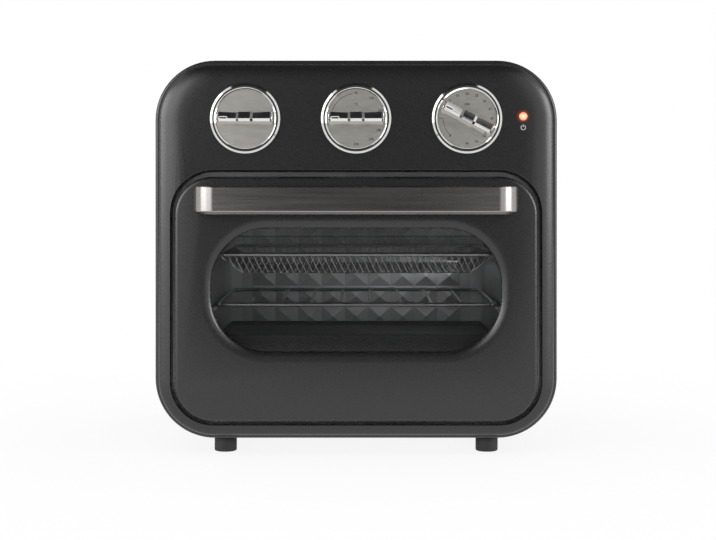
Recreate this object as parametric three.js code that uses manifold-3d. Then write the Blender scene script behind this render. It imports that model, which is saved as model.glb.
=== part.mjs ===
import * as THREE from 'three';
import { mergeVertices } from 'three/addons/utils/BufferGeometryUtils.js';
import Module from 'manifold-3d';

// Countertop air fryer oven with a drop-down glass door, three dials and a ceiling fan.
// Millimetres. X runs to the right, Y from the front to the back and Z up.
// Pieces are placed from the fascia's front plane at Y zero, with the feet on Z zero.

const wasm = await Module();
wasm.setup();

// Whole body
const bodyWidth = 350;
const bodyHeight = 329;
const bodyDepth = 290;
const bodyCornerRadius = 52;
const footHeight = 13.5;
const bodyBottom = footHeight;
const bodyTop = bodyBottom + bodyHeight;
const bodyMiddle = bodyBottom + bodyHeight / 2;

// Clearances and cuts that many pieces share
const seatGap = 0.3;
const overrun = 2;
const sheetThickness = 1;

// Outer wrap: painted sheet steel, rolled in at its front edge
const wrapThickness = 1.2;
const wrapFront = 13;
const rimWidth = 3.2;
const rimDepth = 9;
const rimRounding = 2.5;
const wrapLipReach = 25;
const sideVentCount = 5;
const sideVentWidth = 4;
const sideVentHeight = 44;
const sideVentPitch = 11;
const sideVentRearMargin = 24;
const sideVentTopMargin = 70;

// Rear cover: pressed tray with vents, screws and the cord inlet
const rearCoverDepth = 12;
const rearCoverWall = 2;
const rearCoverRounding = 8;
const rearLipDepth = 8;
const rearLipThickness = 1.6;
const rearVentWidth = 92;
const rearVentHeight = 4.5;
const rearVentPitch = 13;
const rearVentCount = 5;
const rearVentCentreX = 60;
const rearVentTopMargin = 48;
const rearScrewRadius = 4.5;
const rearScrewHeight = 1.6;
const rearScrewInset = 40;
const cordInletSideMargin = 71;
const cordInletRise = 36.5;
const cordInletBore = 3.6;
const cordInletRadius = 6.5;
const cordInletFlangeRadius = 9;
const cordInletFlange = 3;
const cordInletTail = 6;

// Base plate and feet
const basePlateCornerGap = 1;
const baseVentCount = 6;
const baseVentWidth = 5;
const baseVentLength = 110;
const baseVentPitch = 22;
const footRadius = 9.8;
const footRounding = 1.4;
const footInset = 8;
const frontFootY = 32;
const rearFootMargin = 44;
const footStudRadius = 2.5;
const footStudTop = 3;

// Fascia: moulded front with a large soft edge and the door opening
const fasciaInset = rimWidth + seatGap;
const fasciaDepth = 24;
const fasciaWall = 2.6;
const fasciaEdgeWidth = 18;
const fasciaEdgeDepth = 12;
const openingChamfer = 2;

// Door
const doorSideMargin = 18.5;
const doorBottomMargin = 16.9;
const doorDialGap = 17.5;
const doorCornerRadius = 33;
const doorGap = 3.5;
const doorProud = 4;
const doorPanelRear = 12;
const doorWall = 2.2;
const doorEdgeRounding = 3;
const windowSideMargin = 31.2;
const windowBottomMargin = 59.2;
const windowTopMargin = 46.4;
const windowCornerShare = 0.449;
const windowRollOuter = 5.4;
const windowRollOuterDepth = 1.5;
const windowRollInner = 3.8;
const windowCollarRear = 3;
const windowCollarWall = 2.2;
const glassThickness = 4;
const glassMargin = 12.5;
const glassCornerRadius = 30;
const doorFrameInset = 12;
const doorFrameRear = 16;
const doorFrameLap = 3;
const doorPostSideInset = 48.5;
const doorPostRadius = 3.5;
const doorPostTopInset = 11;
const doorPostBottomInset = 13;
const frameScrewRadius = 3.2;
const frameScrewHead = 1.6;
const frameScrewShank = 1.5;
const frameScrewReach = 8;

// Door hinges
const hingeY = 2;
const hingeRise = 9.6;
const hingeSideInset = 44.5;
const hingeEarThickness = 2.5;
const hingeEarRadius = 3.5;
const hingeEarRise = 2.1;
const hingePinRadius = 1.5;
const hingeSideGap = 0.5;
const hingeRibThickness = 3;
const hingeRibDepth = 5;
const hingeRibRise = 4.5;
const hingeFlangeHalfWidth = 8;
const hingeFlangeThickness = 2.2;
const hingeFlangeDrop = 10.5;
const hingeFlangeRise = 3;

// Door handle: flat strap bent back to the door at both ends
const handleFront = -26;
const handleSideInset = 17.5;
const handleTopMargin = 9.9;
const handleHeight = 24;
const handleThickness = 3;
const handleBendRadius = 18;
const handleEdge = 1;
const handleEdgeHeight = 2.2;
const handleTabLength = 13;
const handleScrewRadius = 2;
const handleScrewHeadRadius = 3.6;
const handleScrewHead = 2.2;
const handleScrewInset = 7.5;

// Cooking cavity
const cavitySideMargin = 47.8;
const cavityBottomMargin = 21.6;
const cavityTopMargin = 20.9;
const cavityRearMargin = 15;
const cavityCornerChamfer = 11;
const embossColumns = 9;
const embossRows = 7;
const embossSideMargin = 21;
const embossEndMargin = 12.7;
const embossHeight = 7;
const embossRise = 4.35;
const embossFoot = 0.2;
const guideProtrusion = 5;
const guideHeight = 3;
const guideFront = 30;
const guideRearGap = 19;
const shaftHoleRadius = 6;

// Door seal
const sealMargin = 3.5;
const sealWidth = 5;
const sealCornerRadius = 10;

// Racks, basket and tray share one outline that runs on the guides
const rackSideGap = 2;
const rackFront = 31;
const rackRearGap = 22;
const rackCornerRadius = 9;
const rackWire = 3.6;
const wireRackLevelShare = 0.4506;
const rackRodCount = 8;
const rackRodMargin = 30.7;
const rackRodRadius = 1.3;
const basketLevelShare = 0.7106;
const basketDepth = 17.3;
const basketFloorInset = 24.2;
const basketEndSlope = 6;
const basketSheet = 1.4;
const basketBackRise = 10;
const basketGapShare = 0.39;
const basketGapColumns = 7;
const basketGapRows = 7;
const basketWallGapShare = 0.34;
const basketWallGapHeight = 10;
const trayLevelShare = 0.2353;
const trayEdgeHeight = 4;
const trayPanelRise = 9;
const trayPanelDrop = 8;
const trayPanelThickness = 1.4;

// Heating elements
const heaterRadius = 3.2;
const lowerHeaterRise = 18;
const lowerHeaterHalfSpan = 45;
const lowerHeaterSideMargin = 35.2;
const heaterTerminal = 9;
const upperHeaterDrop = 14;
const upperHeaterShare = 0.8043;
const upperHeaterOpening = 0.35;

// Fans, motor and guard
const shaftRadius = 3;
const shaftDrop = 19;
const shaftRise = 50;
const fanDiscDrop = 6;
const fanDiscThickness = 1.2;
const fanShare = 0.6087;
const fanBladeHeight = 10;
const fanBladeThickness = 1.2;
const fanBladeBow = 5;
const fanBladeCount = 8;
const fanHubRadius = 9;
const coolingRise = 7;
const coolingShare = 0.5405;
const coolingBladeHeight = 9;
const coolingBladeCount = 6;
const guardWidthShare = 0.7233;
const guardDepthShare = 0.7378;
const guardDrop = 25;
const guardCornerRadius = 20;
const guardSlotCount = 12;
const guardSlotInnerShare = 0.2391;
const guardSlotOuterShare = 0.7174;
const guardSlotWidthShare = 0.0978;
const bracketRise = 22;
const bracketShare = 0.7027;
const bracketHalfWidth = 22;
const bracketThickness = 1.5;
const bracketFoot = 10;
const motorRadius = 30;
const motorHeight = 38;
const motorRounding = 2;
const motorCapRadius = 13;
const motorCapHeight = 5;

// Dials and controls
const dialPitchShare = 0.27343;
const dialTopMargin = 51.1;
const dialRingOuter = 31;
const dialRingInner = 27.8;
const dialRingHeight = 3.2;
const dialRingGroove = 1.1;
const dialPlateThickness = 1.2;
const stemRadius = 3;
const stemRear = 32;
const knobFront = 17;
const knobLength = 46.6;
const knobWidth = 10.6;
const knobWaist = 9.4;
const knobDraft = 2.5;
const knobBase = 1.2;
const knobHubRadius = 6.8;
const knobHubFrontRadius = 5.6;
const knobHubProud = 1;
const pointerLength = 8.6;
const pointerWidth = 1.3;
const pointerDepth = 0.6;
const timerRestAngle = THREE.MathUtils.degToRad(27.6);
const controlWidth = 46;
const controlHeight = 38;
const controlDepth = 30;
const bushRadius = 5;
const bushFront = 12;

// Indicator lamp
const lampSideMargin = 30.7;
const lampTopMargin = 49.2;
const lampRadius = 3.6;
const lampDome = 1.3;
const lampBarrelRadius = 2.9;
const lampBarrelRear = 6;
const lampHolderRadius = 4.6;

// Facet counts
const outlineSteps = 3;
const arcSteps = 2;
const wireArcSteps = 2;
const coarseArcSteps = 1;
const dialSides = 36;
const roundSides = 16;
const smallSides = 10;
const wireSides = 8;
const rodSides = 6;

// Places and sizes that follow from the ones above, from the outside inwards
const basePlateHalfWidth = bodyWidth / 2 - bodyCornerRadius - basePlateCornerGap;
const wrapLipInnerHalfWidth = bodyWidth / 2 - bodyCornerRadius - wrapLipReach;
const wrapRear = bodyDepth - rearCoverDepth - seatGap;
const innerInset = wrapThickness + seatGap;
const footCentreX = bodyWidth / 2 - bodyCornerRadius - footInset;
const rearFootY = bodyDepth - rearFootMargin;
const cordInletX = bodyWidth / 2 - cordInletSideMargin;
const cordInletZ = bodyBottom + cordInletRise;
const rearmost = bodyDepth + seatGap + cordInletFlange;
const frameFront = fasciaDepth + seatGap;
const frameRear = frameFront + sheetThickness;

const dialPitch = bodyWidth * dialPitchShare;
const dialZ = bodyTop - dialTopMargin;
const plateRear = -seatGap;
const plateFront = plateRear - dialPlateThickness;
const lampX = bodyWidth / 2 - lampSideMargin;
const lampZ = bodyTop - lampTopMargin;

const doorWidth = bodyWidth - 2 * doorSideMargin;
const doorBottom = bodyBottom + doorBottomMargin;
const doorTop = dialZ - dialRingOuter - doorDialGap;
const doorHeight = doorTop - doorBottom;
const doorMiddle = (doorBottom + doorTop) / 2;
const doorFront = -doorProud;
const windowHalfWidth = doorWidth / 2 - windowSideMargin;
const windowBottom = doorBottom + windowBottomMargin;
const windowTop = doorTop - windowTopMargin;
const windowMiddle = (windowBottom + windowTop) / 2;
const windowHeight = windowTop - windowBottom;
const windowCornerRadius = windowHeight * windowCornerShare;
const glassFront = windowCollarRear + seatGap;
const glassRear = glassFront + glassThickness;
const doorFrameFront = glassRear + seatGap;
const doorPostX = doorWidth / 2 - doorPostSideInset;
const hingeX = doorWidth / 2 - hingeSideInset;
const hingeZ = doorBottom + hingeRise;
const handleHalfLength = doorWidth / 2 - handleSideInset;
const handleMiddle = doorTop - handleTopMargin - handleHeight / 2;

const cavityFront = frameRear + seatGap;
const cavityBack = bodyDepth - cavityRearMargin;
const cavityHalfWidth = bodyWidth / 2 - cavitySideMargin;
const cavityFloor = doorBottom + cavityBottomMargin;
const cavityCeiling = doorTop - cavityTopMargin;
const cavityHeight = cavityCeiling - cavityFloor;
const cavityMiddle = (cavityFloor + cavityCeiling) / 2;
const embossPitchX = (2 * (cavityHalfWidth - embossSideMargin)) / embossColumns;
const embossPitchZ = (cavityHeight - 2 * embossEndMargin) / embossRows;
const embossMiddle = cavityMiddle + embossRise;
const guideRear = cavityBack - guideRearGap;

const rackHalfWidth = cavityHalfWidth - rackSideGap;
const rackRear = cavityBack - rackRearGap;
const rackMiddleY = (rackFront + rackRear) / 2;
const rackDepth = rackRear - rackFront;
const wireRackZ = cavityFloor + cavityHeight * wireRackLevelShare;
const rackRodPitch = (2 * (rackHalfWidth - rackRodMargin)) / (rackRodCount - 1);
const basketRimZ = cavityFloor + cavityHeight * basketLevelShare;
const basketFloorZ = basketRimZ - basketDepth;
const basketFloorHalfWidth = rackHalfWidth - basketFloorInset;
const basketColumnPitch = (2 * basketFloorHalfWidth) / (basketGapColumns + 1);
const basketRowPitch = (rackDepth - 2 * basketEndSlope) / (basketGapRows + 1);
const trayFloorZ = cavityFloor + cavityHeight * trayLevelShare;
const trayTop = trayFloorZ + sheetThickness;

const fanY = (cavityFront + cavityBack) / 2;
const guardHalfWidth = cavityHalfWidth * guardWidthShare;
const guardHalfDepth = ((cavityBack - cavityFront) / 2) * guardDepthShare;
const guardMeanHalf = (guardHalfWidth + guardHalfDepth) / 2;
const guardZ = cavityCeiling - guardDrop;
const guardSlotInner = guardMeanHalf * guardSlotInnerShare;
const guardSlotOuter = guardMeanHalf * guardSlotOuterShare;
const guardSlotWidth = guardMeanHalf * guardSlotWidthShare;
const lowerHeaterZ = cavityFloor + lowerHeaterRise;
const lowerHeaterFrontY = fanY - lowerHeaterHalfSpan;
const lowerHeaterRearY = fanY + lowerHeaterHalfSpan;
const lowerHeaterReach = cavityHalfWidth - lowerHeaterSideMargin;
const upperHeaterZ = cavityCeiling - upperHeaterDrop;
const upperHeaterRingRadius = guardMeanHalf * upperHeaterShare;
const fanRadius = guardMeanHalf * fanShare;
const fanDiscZ = cavityCeiling - fanDiscDrop;
const coolingTop = cavityCeiling + coolingRise + coolingBladeHeight;
const coolingRadius = upperHeaterRingRadius * coolingShare;
const shaftBottom = cavityCeiling - shaftDrop;
const shaftTop = cavityCeiling + shaftRise;
const bracketTop = cavityCeiling + bracketRise;
const bracketHalfLength = upperHeaterRingRadius * bracketShare;

const unitX = new THREE.Vector3(1, 0, 0);
const unitY = new THREE.Vector3(0, 1, 0);
const unitZ = new THREE.Vector3(0, 0, 1);
const frontView = new THREE.Matrix4().makeBasis(unitX, unitZ, unitY.clone().negate());
const sideView = new THREE.Matrix4().makeBasis(unitY, unitZ, unitX);

// Solids from geometries

function solidOf(geometry) {
  geometry.deleteAttribute('normal');
  geometry.deleteAttribute('uv');
  const merged = mergeVertices(geometry);
  const index = merged.index.array;
  const triangles = [];
  for (let i = 0; i < index.length; i += 3) {
    const [a, b, c] = [index[i], index[i + 1], index[i + 2]];
    if (a !== b && b !== c && c !== a) {
      triangles.push(a, b, c);
    }
  }
  const mesh = new wasm.Mesh({
    numProp: 3,
    vertProperties: new Float32Array(merged.attributes.position.array),
    triVerts: new Uint32Array(triangles),
  });
  return new wasm.Manifold(mesh);
}

function geometryOf(solid) {
  const mesh = solid.getMesh();
  const geometry = new THREE.BufferGeometry();
  geometry.setAttribute('position', new THREE.BufferAttribute(mesh.vertProperties, 3));
  geometry.setIndex(new THREE.BufferAttribute(mesh.triVerts, 1));
  geometry.computeVertexNormals();
  return geometry;
}

function joined(solids) {
  return solids.reduce((whole, piece) => whole.add(piece));
}

function cut(solid, cutters) {
  return cutters.reduce((rest, cutter) => rest.subtract(cutter), solid);
}

// Prisms: a front view outline runs along Y, a side view outline along X, a plan outline along Z

function extrusion(shape, length, steps = arcSteps) {
  return new THREE.ExtrudeGeometry(shape, { depth: length, bevelEnabled: false, curveSegments: steps });
}

function prismY(shape, from, to, steps = arcSteps) {
  return solidOf(extrusion(shape, to - from, steps).applyMatrix4(frontView).translate(0, to, 0));
}

function prismX(shape, from, to, steps = arcSteps) {
  return solidOf(extrusion(shape, to - from, steps).applyMatrix4(sideView).translate(from, 0, 0));
}

function prismZ(shape, from, to, steps = arcSteps) {
  return solidOf(extrusion(shape, to - from, steps).translate(0, 0, from));
}

function block(fromX, toX, fromY, toY, fromZ, toZ) {
  const geometry = new THREE.BoxGeometry(toX - fromX, toY - fromY, toZ - fromZ);
  return solidOf(geometry.translate((fromX + toX) / 2, (fromY + toY) / 2, (fromZ + toZ) / 2));
}

function cylinderX(radius, from, to, y, z, sides = smallSides) {
  const geometry = new THREE.CylinderGeometry(radius, radius, to - from, sides).rotateZ(Math.PI / 2);
  return solidOf(geometry.translate((from + to) / 2, y, z));
}

function cylinderY(radius, from, to, x, z, sides = smallSides) {
  const geometry = new THREE.CylinderGeometry(radius, radius, to - from, sides);
  return solidOf(geometry.translate(x, (from + to) / 2, z));
}

function cylinderZ(radius, from, to, x, y, sides = smallSides) {
  const geometry = new THREE.CylinderGeometry(radius, radius, to - from, sides).rotateX(Math.PI / 2);
  return solidOf(geometry.translate(x, y, (from + to) / 2));
}

// Turned pieces: each profile point is a radius and a place along the axis
function turnedY(profile, x, z, sides = roundSides) {
  const points = profile.map(([radius, along]) => new THREE.Vector2(radius, along));
  return solidOf(new THREE.LatheGeometry(points, sides).translate(x, 0, z));
}

function turnedZ(profile, x, y, sides = roundSides) {
  const points = profile.map(([radius, along]) => new THREE.Vector2(radius, along));
  return solidOf(new THREE.LatheGeometry(points, sides).rotateX(Math.PI / 2).translate(x, y, 0));
}

function roundedRectangle(width, height, radius, centreX = 0, centreY = 0) {
  const right = centreX + width / 2 - radius;
  const left = centreX - width / 2 + radius;
  const top = centreY + height / 2 - radius;
  const bottom = centreY - height / 2 + radius;
  const shape = new THREE.Shape();
  shape.absarc(right, top, radius, 0, Math.PI / 2);
  shape.absarc(left, top, radius, Math.PI / 2, Math.PI);
  shape.absarc(left, bottom, radius, Math.PI, 1.5 * Math.PI);
  shape.absarc(right, bottom, radius, 1.5 * Math.PI, 2 * Math.PI);
  return shape;
}

function polygon(corners) {
  return new THREE.Shape(corners.map(([x, y]) => new THREE.Vector2(x, y)));
}

// A slot with round ends, long across the first direction of its view
function slotShape(length, width, centreX = 0, centreY = 0) {
  const reach = (length - width) / 2;
  const shape = new THREE.Shape();
  shape.absarc(centreX + reach, centreY, width / 2, -Math.PI / 2, Math.PI / 2);
  shape.absarc(centreX - reach, centreY, width / 2, Math.PI / 2, 1.5 * Math.PI);
  return shape;
}

// A prism along Y whose outline draws in towards its front or its rear end
function softPrismY(shape, from, to, inset, run, steps, end) {
  const length = to - from;
  const geometry = new THREE.ExtrudeGeometry(shape, {
    depth: length,
    bevelEnabled: true,
    bevelThickness: run,
    bevelSize: inset,
    bevelOffset: -inset,
    bevelSegments: steps,
    curveSegments: outlineSteps,
  });
  geometry.applyMatrix4(frontView);
  const farEnd = length + 2 * run;
  const place = end === 'front' ? from + length + run : to - run;
  const solid = solidOf(geometry.translate(0, place, 0));
  const reach = bodyWidth + bodyHeight;
  if (end === 'front') {
    return solid.subtract(block(-reach, reach, to, from + farEnd + overrun, -reach, reach));
  }
  return solid.subtract(block(-reach, reach, to - farEnd - overrun, from, -reach, reach));
}

// A cutter along Y that is the shape at its rear and grows by a margin towards its front
function flaredCutterY(shape, margin, from, to) {
  const geometry = new THREE.ExtrudeGeometry(shape, {
    depth: overrun,
    bevelEnabled: true,
    bevelThickness: to - from,
    bevelSize: margin,
    bevelSegments: 1,
    curveSegments: outlineSteps,
  });
  return solidOf(geometry.applyMatrix4(frontView).translate(0, from, 0));
}

// Body outlines at a given distance inside the outer skin

function bodyOutline(inset) {
  const width = bodyWidth - 2 * inset;
  const height = bodyHeight - 2 * inset;
  return roundedRectangle(width, height, bodyCornerRadius - inset, 0, bodyMiddle);
}

function doorOutline(inset) {
  const width = doorWidth - 2 * inset;
  const height = doorHeight - 2 * inset;
  return roundedRectangle(width, height, doorCornerRadius - inset, 0, doorMiddle);
}

function windowOutline(margin) {
  const width = 2 * (windowHalfWidth + margin);
  return roundedRectangle(width, windowHeight + 2 * margin, windowCornerRadius + margin, 0, windowMiddle);
}

function cavityOutline(margin, radius) {
  const width = 2 * (cavityHalfWidth + margin);
  return roundedRectangle(width, cavityHeight + 2 * margin, radius, 0, cavityMiddle);
}

// Outer skin

function outerWrap() {
  const skin = softPrismY(
    bodyOutline(0), wrapFront, wrapRear, rimRounding, rimRounding, 2, 'front');
  const mouth = prismY(bodyOutline(rimWidth), wrapFront - overrun, wrapRear, outlineSteps);
  const rimRear = wrapFront + rimDepth;
  const inside = prismY(bodyOutline(wrapThickness), rimRear, wrapRear + overrun, outlineSteps);
  const lip = wrapLipInnerHalfWidth;
  const underside = block(
    -lip, lip, rimRear, wrapRear + overrun, bodyBottom - overrun, bodyBottom + rimWidth + overrun);
  const cutters = [mouth, inside, underside];
  const slotZ = bodyTop - sideVentTopMargin;
  for (let i = 0; i < sideVentCount; i += 1) {
    const slotY = wrapRear - sideVentRearMargin - i * sideVentPitch;
    const slot = slotShape(sideVentHeight, sideVentWidth);
    const geometry = extrusion(slot, bodyWidth + 2 * overrun, coarseArcSteps);
    geometry.rotateZ(Math.PI / 2).applyMatrix4(sideView);
    cutters.push(solidOf(geometry.translate(-bodyWidth / 2 - overrun, slotY, slotZ)));
  }
  for (const [x, y] of footPlaces()) {
    const top = bodyBottom + rimWidth + overrun;
    cutters.push(cylinderZ(footStudRadius + seatGap, bodyBottom - overrun, top, x, y));
  }
  return cut(skin, cutters);
}

function rearCover() {
  const front = bodyDepth - rearCoverDepth;
  const skin = softPrismY(
    bodyOutline(0), front, bodyDepth, rearCoverRounding, rearCoverRounding, 2, 'rear');
  const hollowFront = front - overrun;
  const hollowRear = bodyDepth - rearCoverWall;
  const hollow = softPrismY(
    bodyOutline(rearCoverWall), hollowFront, hollowRear, rearCoverRounding, rearCoverRounding, 1, 'rear');
  const lip = prismY(bodyOutline(innerInset), front - rearLipDepth, front + rearCoverWall, outlineSteps);
  const lipInset = innerInset + rearLipThickness;
  const lipInside = prismY(
    bodyOutline(lipInset), front - rearLipDepth - overrun, front + rearCoverWall + overrun, outlineSteps);
  const cutters = [];
  for (let i = 0; i < rearVentCount; i += 1) {
    const z = bodyTop - rearVentTopMargin - i * rearVentPitch;
    for (const side of [-1, 1]) {
      const slot = slotShape(rearVentWidth, rearVentHeight, side * rearVentCentreX, z);
      cutters.push(prismY(slot, hollowRear - overrun, bodyDepth + overrun, coarseArcSteps));
    }
  }
  const inletHole = cordInletRadius + seatGap;
  cutters.push(cylinderY(
    inletHole, hollowRear - overrun, bodyDepth + overrun, -cordInletX, cordInletZ, roundSides));
  const screws = [];
  for (const sideX of [-1, 1]) {
    for (const sideZ of [-1, 1]) {
      const x = sideX * (bodyWidth / 2 - rearScrewInset);
      const z = bodyMiddle + sideZ * (bodyHeight / 2 - rearScrewInset);
      screws.push(cylinderY(rearScrewRadius, hollowRear, bodyDepth + rearScrewHeight, x, z));
    }
  }
  const tray = skin.subtract(hollow);
  return joined([cut(tray, cutters), lip.subtract(lipInside), ...screws]);
}

function cordInlet() {
  const flangeFront = bodyDepth + seatGap;
  const tail = bodyDepth - rearCoverWall - cordInletTail;
  return turnedY([
    [cordInletBore, tail],
    [cordInletRadius, tail],
    [cordInletRadius, flangeFront],
    [cordInletFlangeRadius, flangeFront],
    [cordInletFlangeRadius, rearmost - cordInletFlange / 3],
    [cordInletRadius, rearmost],
    [cordInletBore, rearmost],
    [cordInletBore, tail],
  ], -cordInletX, cordInletZ);
}

function footPlaces() {
  return [
    [-footCentreX, frontFootY],
    [footCentreX, frontFootY],
    [-footCentreX, rearFootY],
    [footCentreX, rearFootY],
  ];
}

function foot() {
  const top = bodyBottom - seatGap;
  const studTop = bodyBottom + wrapThickness + seatGap + sheetThickness + footStudTop;
  return turnedZ([
    [0, 0],
    [footRadius - footRounding, 0],
    [footRadius, footRounding],
    [footRadius, top],
    [footStudRadius, top],
    [footStudRadius, studTop],
    [0, studTop],
  ], 0, 0);
}

function basePlate() {
  const bottom = bodyBottom + innerInset;
  const top = bottom + sheetThickness;
  const rear = bodyDepth - rearCoverDepth - rearLipDepth - seatGap;
  const plate = block(-basePlateHalfWidth, basePlateHalfWidth, cavityFront, rear, bottom, top);
  const cutters = [];
  const middleY = (cavityFront + rear) / 2;
  for (let i = 0; i < baseVentCount; i += 1) {
    const y = middleY + (i - (baseVentCount - 1) / 2) * baseVentPitch;
    const slot = slotShape(baseVentLength, baseVentWidth, 0, y);
    cutters.push(prismZ(slot, bottom - overrun, top + overrun, coarseArcSteps));
  }
  for (const [x, y] of footPlaces()) {
    cutters.push(cylinderZ(footStudRadius + seatGap, bottom - overrun, top + overrun, x, y));
  }
  return cut(plate, cutters);
}

// Fascia and the sheet frame behind it

function dialPlaces() {
  return [-dialPitch, 0, dialPitch];
}

function frontFascia() {
  const skin = softPrismY(
    bodyOutline(fasciaInset), 0, fasciaDepth, fasciaEdgeWidth, fasciaEdgeDepth, outlineSteps, 'front');
  const hollow = softPrismY(
    bodyOutline(fasciaInset + fasciaWall), fasciaWall, fasciaDepth + overrun,
    fasciaEdgeWidth, fasciaEdgeDepth, 2, 'front');
  const surround = prismY(doorOutline(-doorGap - fasciaWall), fasciaWall / 2, fasciaDepth, outlineSteps);
  const opening = prismY(doorOutline(-doorGap), -overrun, fasciaDepth + overrun, outlineSteps);
  const edge = flaredCutterY(doorOutline(-doorGap), openingChamfer, 0, openingChamfer);
  const cutters = [opening, edge];
  for (const x of dialPlaces()) {
    cutters.push(cylinderY(stemRadius + 2 * seatGap, -overrun, fasciaWall + overrun, x, dialZ));
  }
  cutters.push(cylinderY(lampBarrelRadius + seatGap, -overrun, fasciaWall + overrun, lampX, lampZ));
  return cut(skin.subtract(hollow).add(surround), cutters);
}

function frontFrame() {
  const plate = prismY(bodyOutline(innerInset), frameFront, frameRear, outlineSteps);
  const mouth = prismY(cavityOutline(0, openingChamfer), frameFront - overrun, frameRear + overrun, 1);
  const cutters = [mouth];
  for (const x of dialPlaces()) {
    cutters.push(cylinderY(bushRadius + seatGap, frameFront - overrun, frameRear + overrun, x, dialZ));
  }
  return cut(plate, cutters);
}

function doorSeal() {
  const front = doorFrameRear + seatGap;
  const rear = frameFront - seatGap;
  const outer = prismY(cavityOutline(sealMargin + sealWidth, sealCornerRadius + sealWidth), front, rear);
  const inner = prismY(cavityOutline(sealMargin, sealCornerRadius), front - overrun, rear + overrun);
  return outer.subtract(inner);
}

// Cooking cavity

function guideLevels() {
  return [trayFloorZ, wireRackZ - rackWire / 2, basketRimZ - rackWire / 2];
}

// A side wall with three pressed ledges, drawn for the right side
function cavitySide(side) {
  const rear = cavityBack - cavityCornerChamfer - seatGap;
  const inner = cavityHalfWidth;
  const outer = inner + sheetThickness;
  const bottom = cavityFloor + seatGap;
  const top = cavityCeiling - seatGap;
  const pieces = [];
  if (side > 0) {
    pieces.push(block(inner, outer, cavityFront, rear, bottom, top));
  } else {
    pieces.push(block(-outer, -inner, cavityFront, rear, bottom, top));
  }
  for (const level of guideLevels()) {
    const ledgeTop = level - seatGap;
    const ledge = polygon([
      [side * (inner + sheetThickness / 2), ledgeTop],
      [side * (inner - guideProtrusion), ledgeTop],
      [side * (inner - guideProtrusion), ledgeTop - guideHeight / 2],
      [side * (inner + sheetThickness / 2), ledgeTop - guideHeight - guideProtrusion / 2],
    ]);
    pieces.push(prismY(ledge, guideFront, guideRear));
  }
  const wall = joined(pieces);
  if (side < 0) {
    return wall;
  }
  const holes = [lowerHeaterFrontY, lowerHeaterRearY].map((y) => cylinderX(
    heaterRadius + seatGap, inner - overrun, outer + overrun, y, lowerHeaterZ));
  return cut(wall, holes);
}

function cavityFloorSheet() {
  const reach = cavityHalfWidth + sheetThickness;
  const rear = cavityBack + sheetThickness;
  return block(-reach, reach, cavityFront, rear, cavityFloor - sheetThickness, cavityFloor);
}

function cavityCeilingSheet() {
  const reach = cavityHalfWidth + sheetThickness;
  const rear = cavityBack + sheetThickness;
  const bottom = cavityCeiling;
  const top = bottom + sheetThickness;
  const sheet = block(-reach, reach, cavityFront, rear, bottom, top);
  const holes = [cylinderZ(shaftHoleRadius, bottom - overrun, top + overrun, 0, fanY, roundSides)];
  for (const [x, y] of upperHeaterEnds()) {
    holes.push(cylinderZ(heaterRadius + seatGap, bottom - overrun, top + overrun, x, y));
  }
  return cut(sheet, holes);
}

// A row of equal ridges over a flat rear edge, as a list of corners
function ridgeCorners(count, pitch, middle, shift) {
  const half = (count * pitch) / 2;
  const rear = cavityBack + sheetThickness / 2 + shift;
  const valley = cavityBack - embossFoot + shift;
  const corners = [[middle + half, rear], [middle - half, rear]];
  for (let i = 0; i < count; i += 1) {
    const start = middle - half + i * pitch;
    corners.push([start, valley]);
    corners.push([start + pitch / 2, valley - embossHeight]);
  }
  corners.push([middle + half, valley]);
  return corners;
}

// Four-sided pyramids, base to base: where ridges across and ridges up the wall have a common body
function embossedPyramids(shift) {
  const across = ridgeCorners(embossColumns, embossPitchX, 0, shift);
  const upward = ridgeCorners(embossRows, embossPitchZ, embossMiddle, shift);
  const side = upward.map(([z, y]) => [y, z]);
  const half = cavityHalfWidth;
  const ridgesAcross = prismZ(polygon(across), cavityFloor, cavityCeiling);
  return ridgesAcross.intersect(prismX(polygon(side), -half, half));
}

function cavityBackWall() {
  const inner = cavityHalfWidth;
  const flat = inner - cavityCornerChamfer;
  const front = cavityBack - cavityCornerChamfer;
  const rear = cavityBack + sheetThickness;
  const plan = polygon([
    [-inner, front],
    [-flat, cavityBack],
    [flat, cavityBack],
    [inner, front],
    [inner + sheetThickness, front],
    [inner + sheetThickness, front + sheetThickness / 2],
    [flat + sheetThickness / 2, rear],
    [-flat - sheetThickness / 2, rear],
    [-inner - sheetThickness, front + sheetThickness / 2],
    [-inner - sheetThickness, front],
  ]);
  const wall = prismZ(plan, cavityFloor + seatGap, cavityCeiling - seatGap);
  return wall.add(embossedPyramids(0)).subtract(embossedPyramids(sheetThickness));
}

// Tubes along a path

function tubeAlong(curve, radius, steps, sides = wireSides) {
  const corners = [];
  for (let i = 0; i < sides; i += 1) {
    const angle = (2 * Math.PI * i) / sides;
    corners.push([radius * Math.cos(angle), radius * Math.sin(angle)]);
  }
  const geometry = new THREE.ExtrudeGeometry(polygon(corners), {
    steps,
    bevelEnabled: false,
    extrudePath: curve,
  });
  return solidOf(geometry);
}

class Arc extends THREE.Curve {
  constructor(x, y, z, radius, startAngle, endAngle) {
    super();
    this.centre = new THREE.Vector3(x, y, z);
    this.radius = radius;
    this.startAngle = startAngle;
    this.endAngle = endAngle;
  }

  getPoint(t, target = new THREE.Vector3()) {
    const angle = this.startAngle + t * (this.endAngle - this.startAngle);
    target.set(Math.cos(angle), Math.sin(angle), 0);
    return target.multiplyScalar(this.radius).add(this.centre);
  }
}

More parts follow.
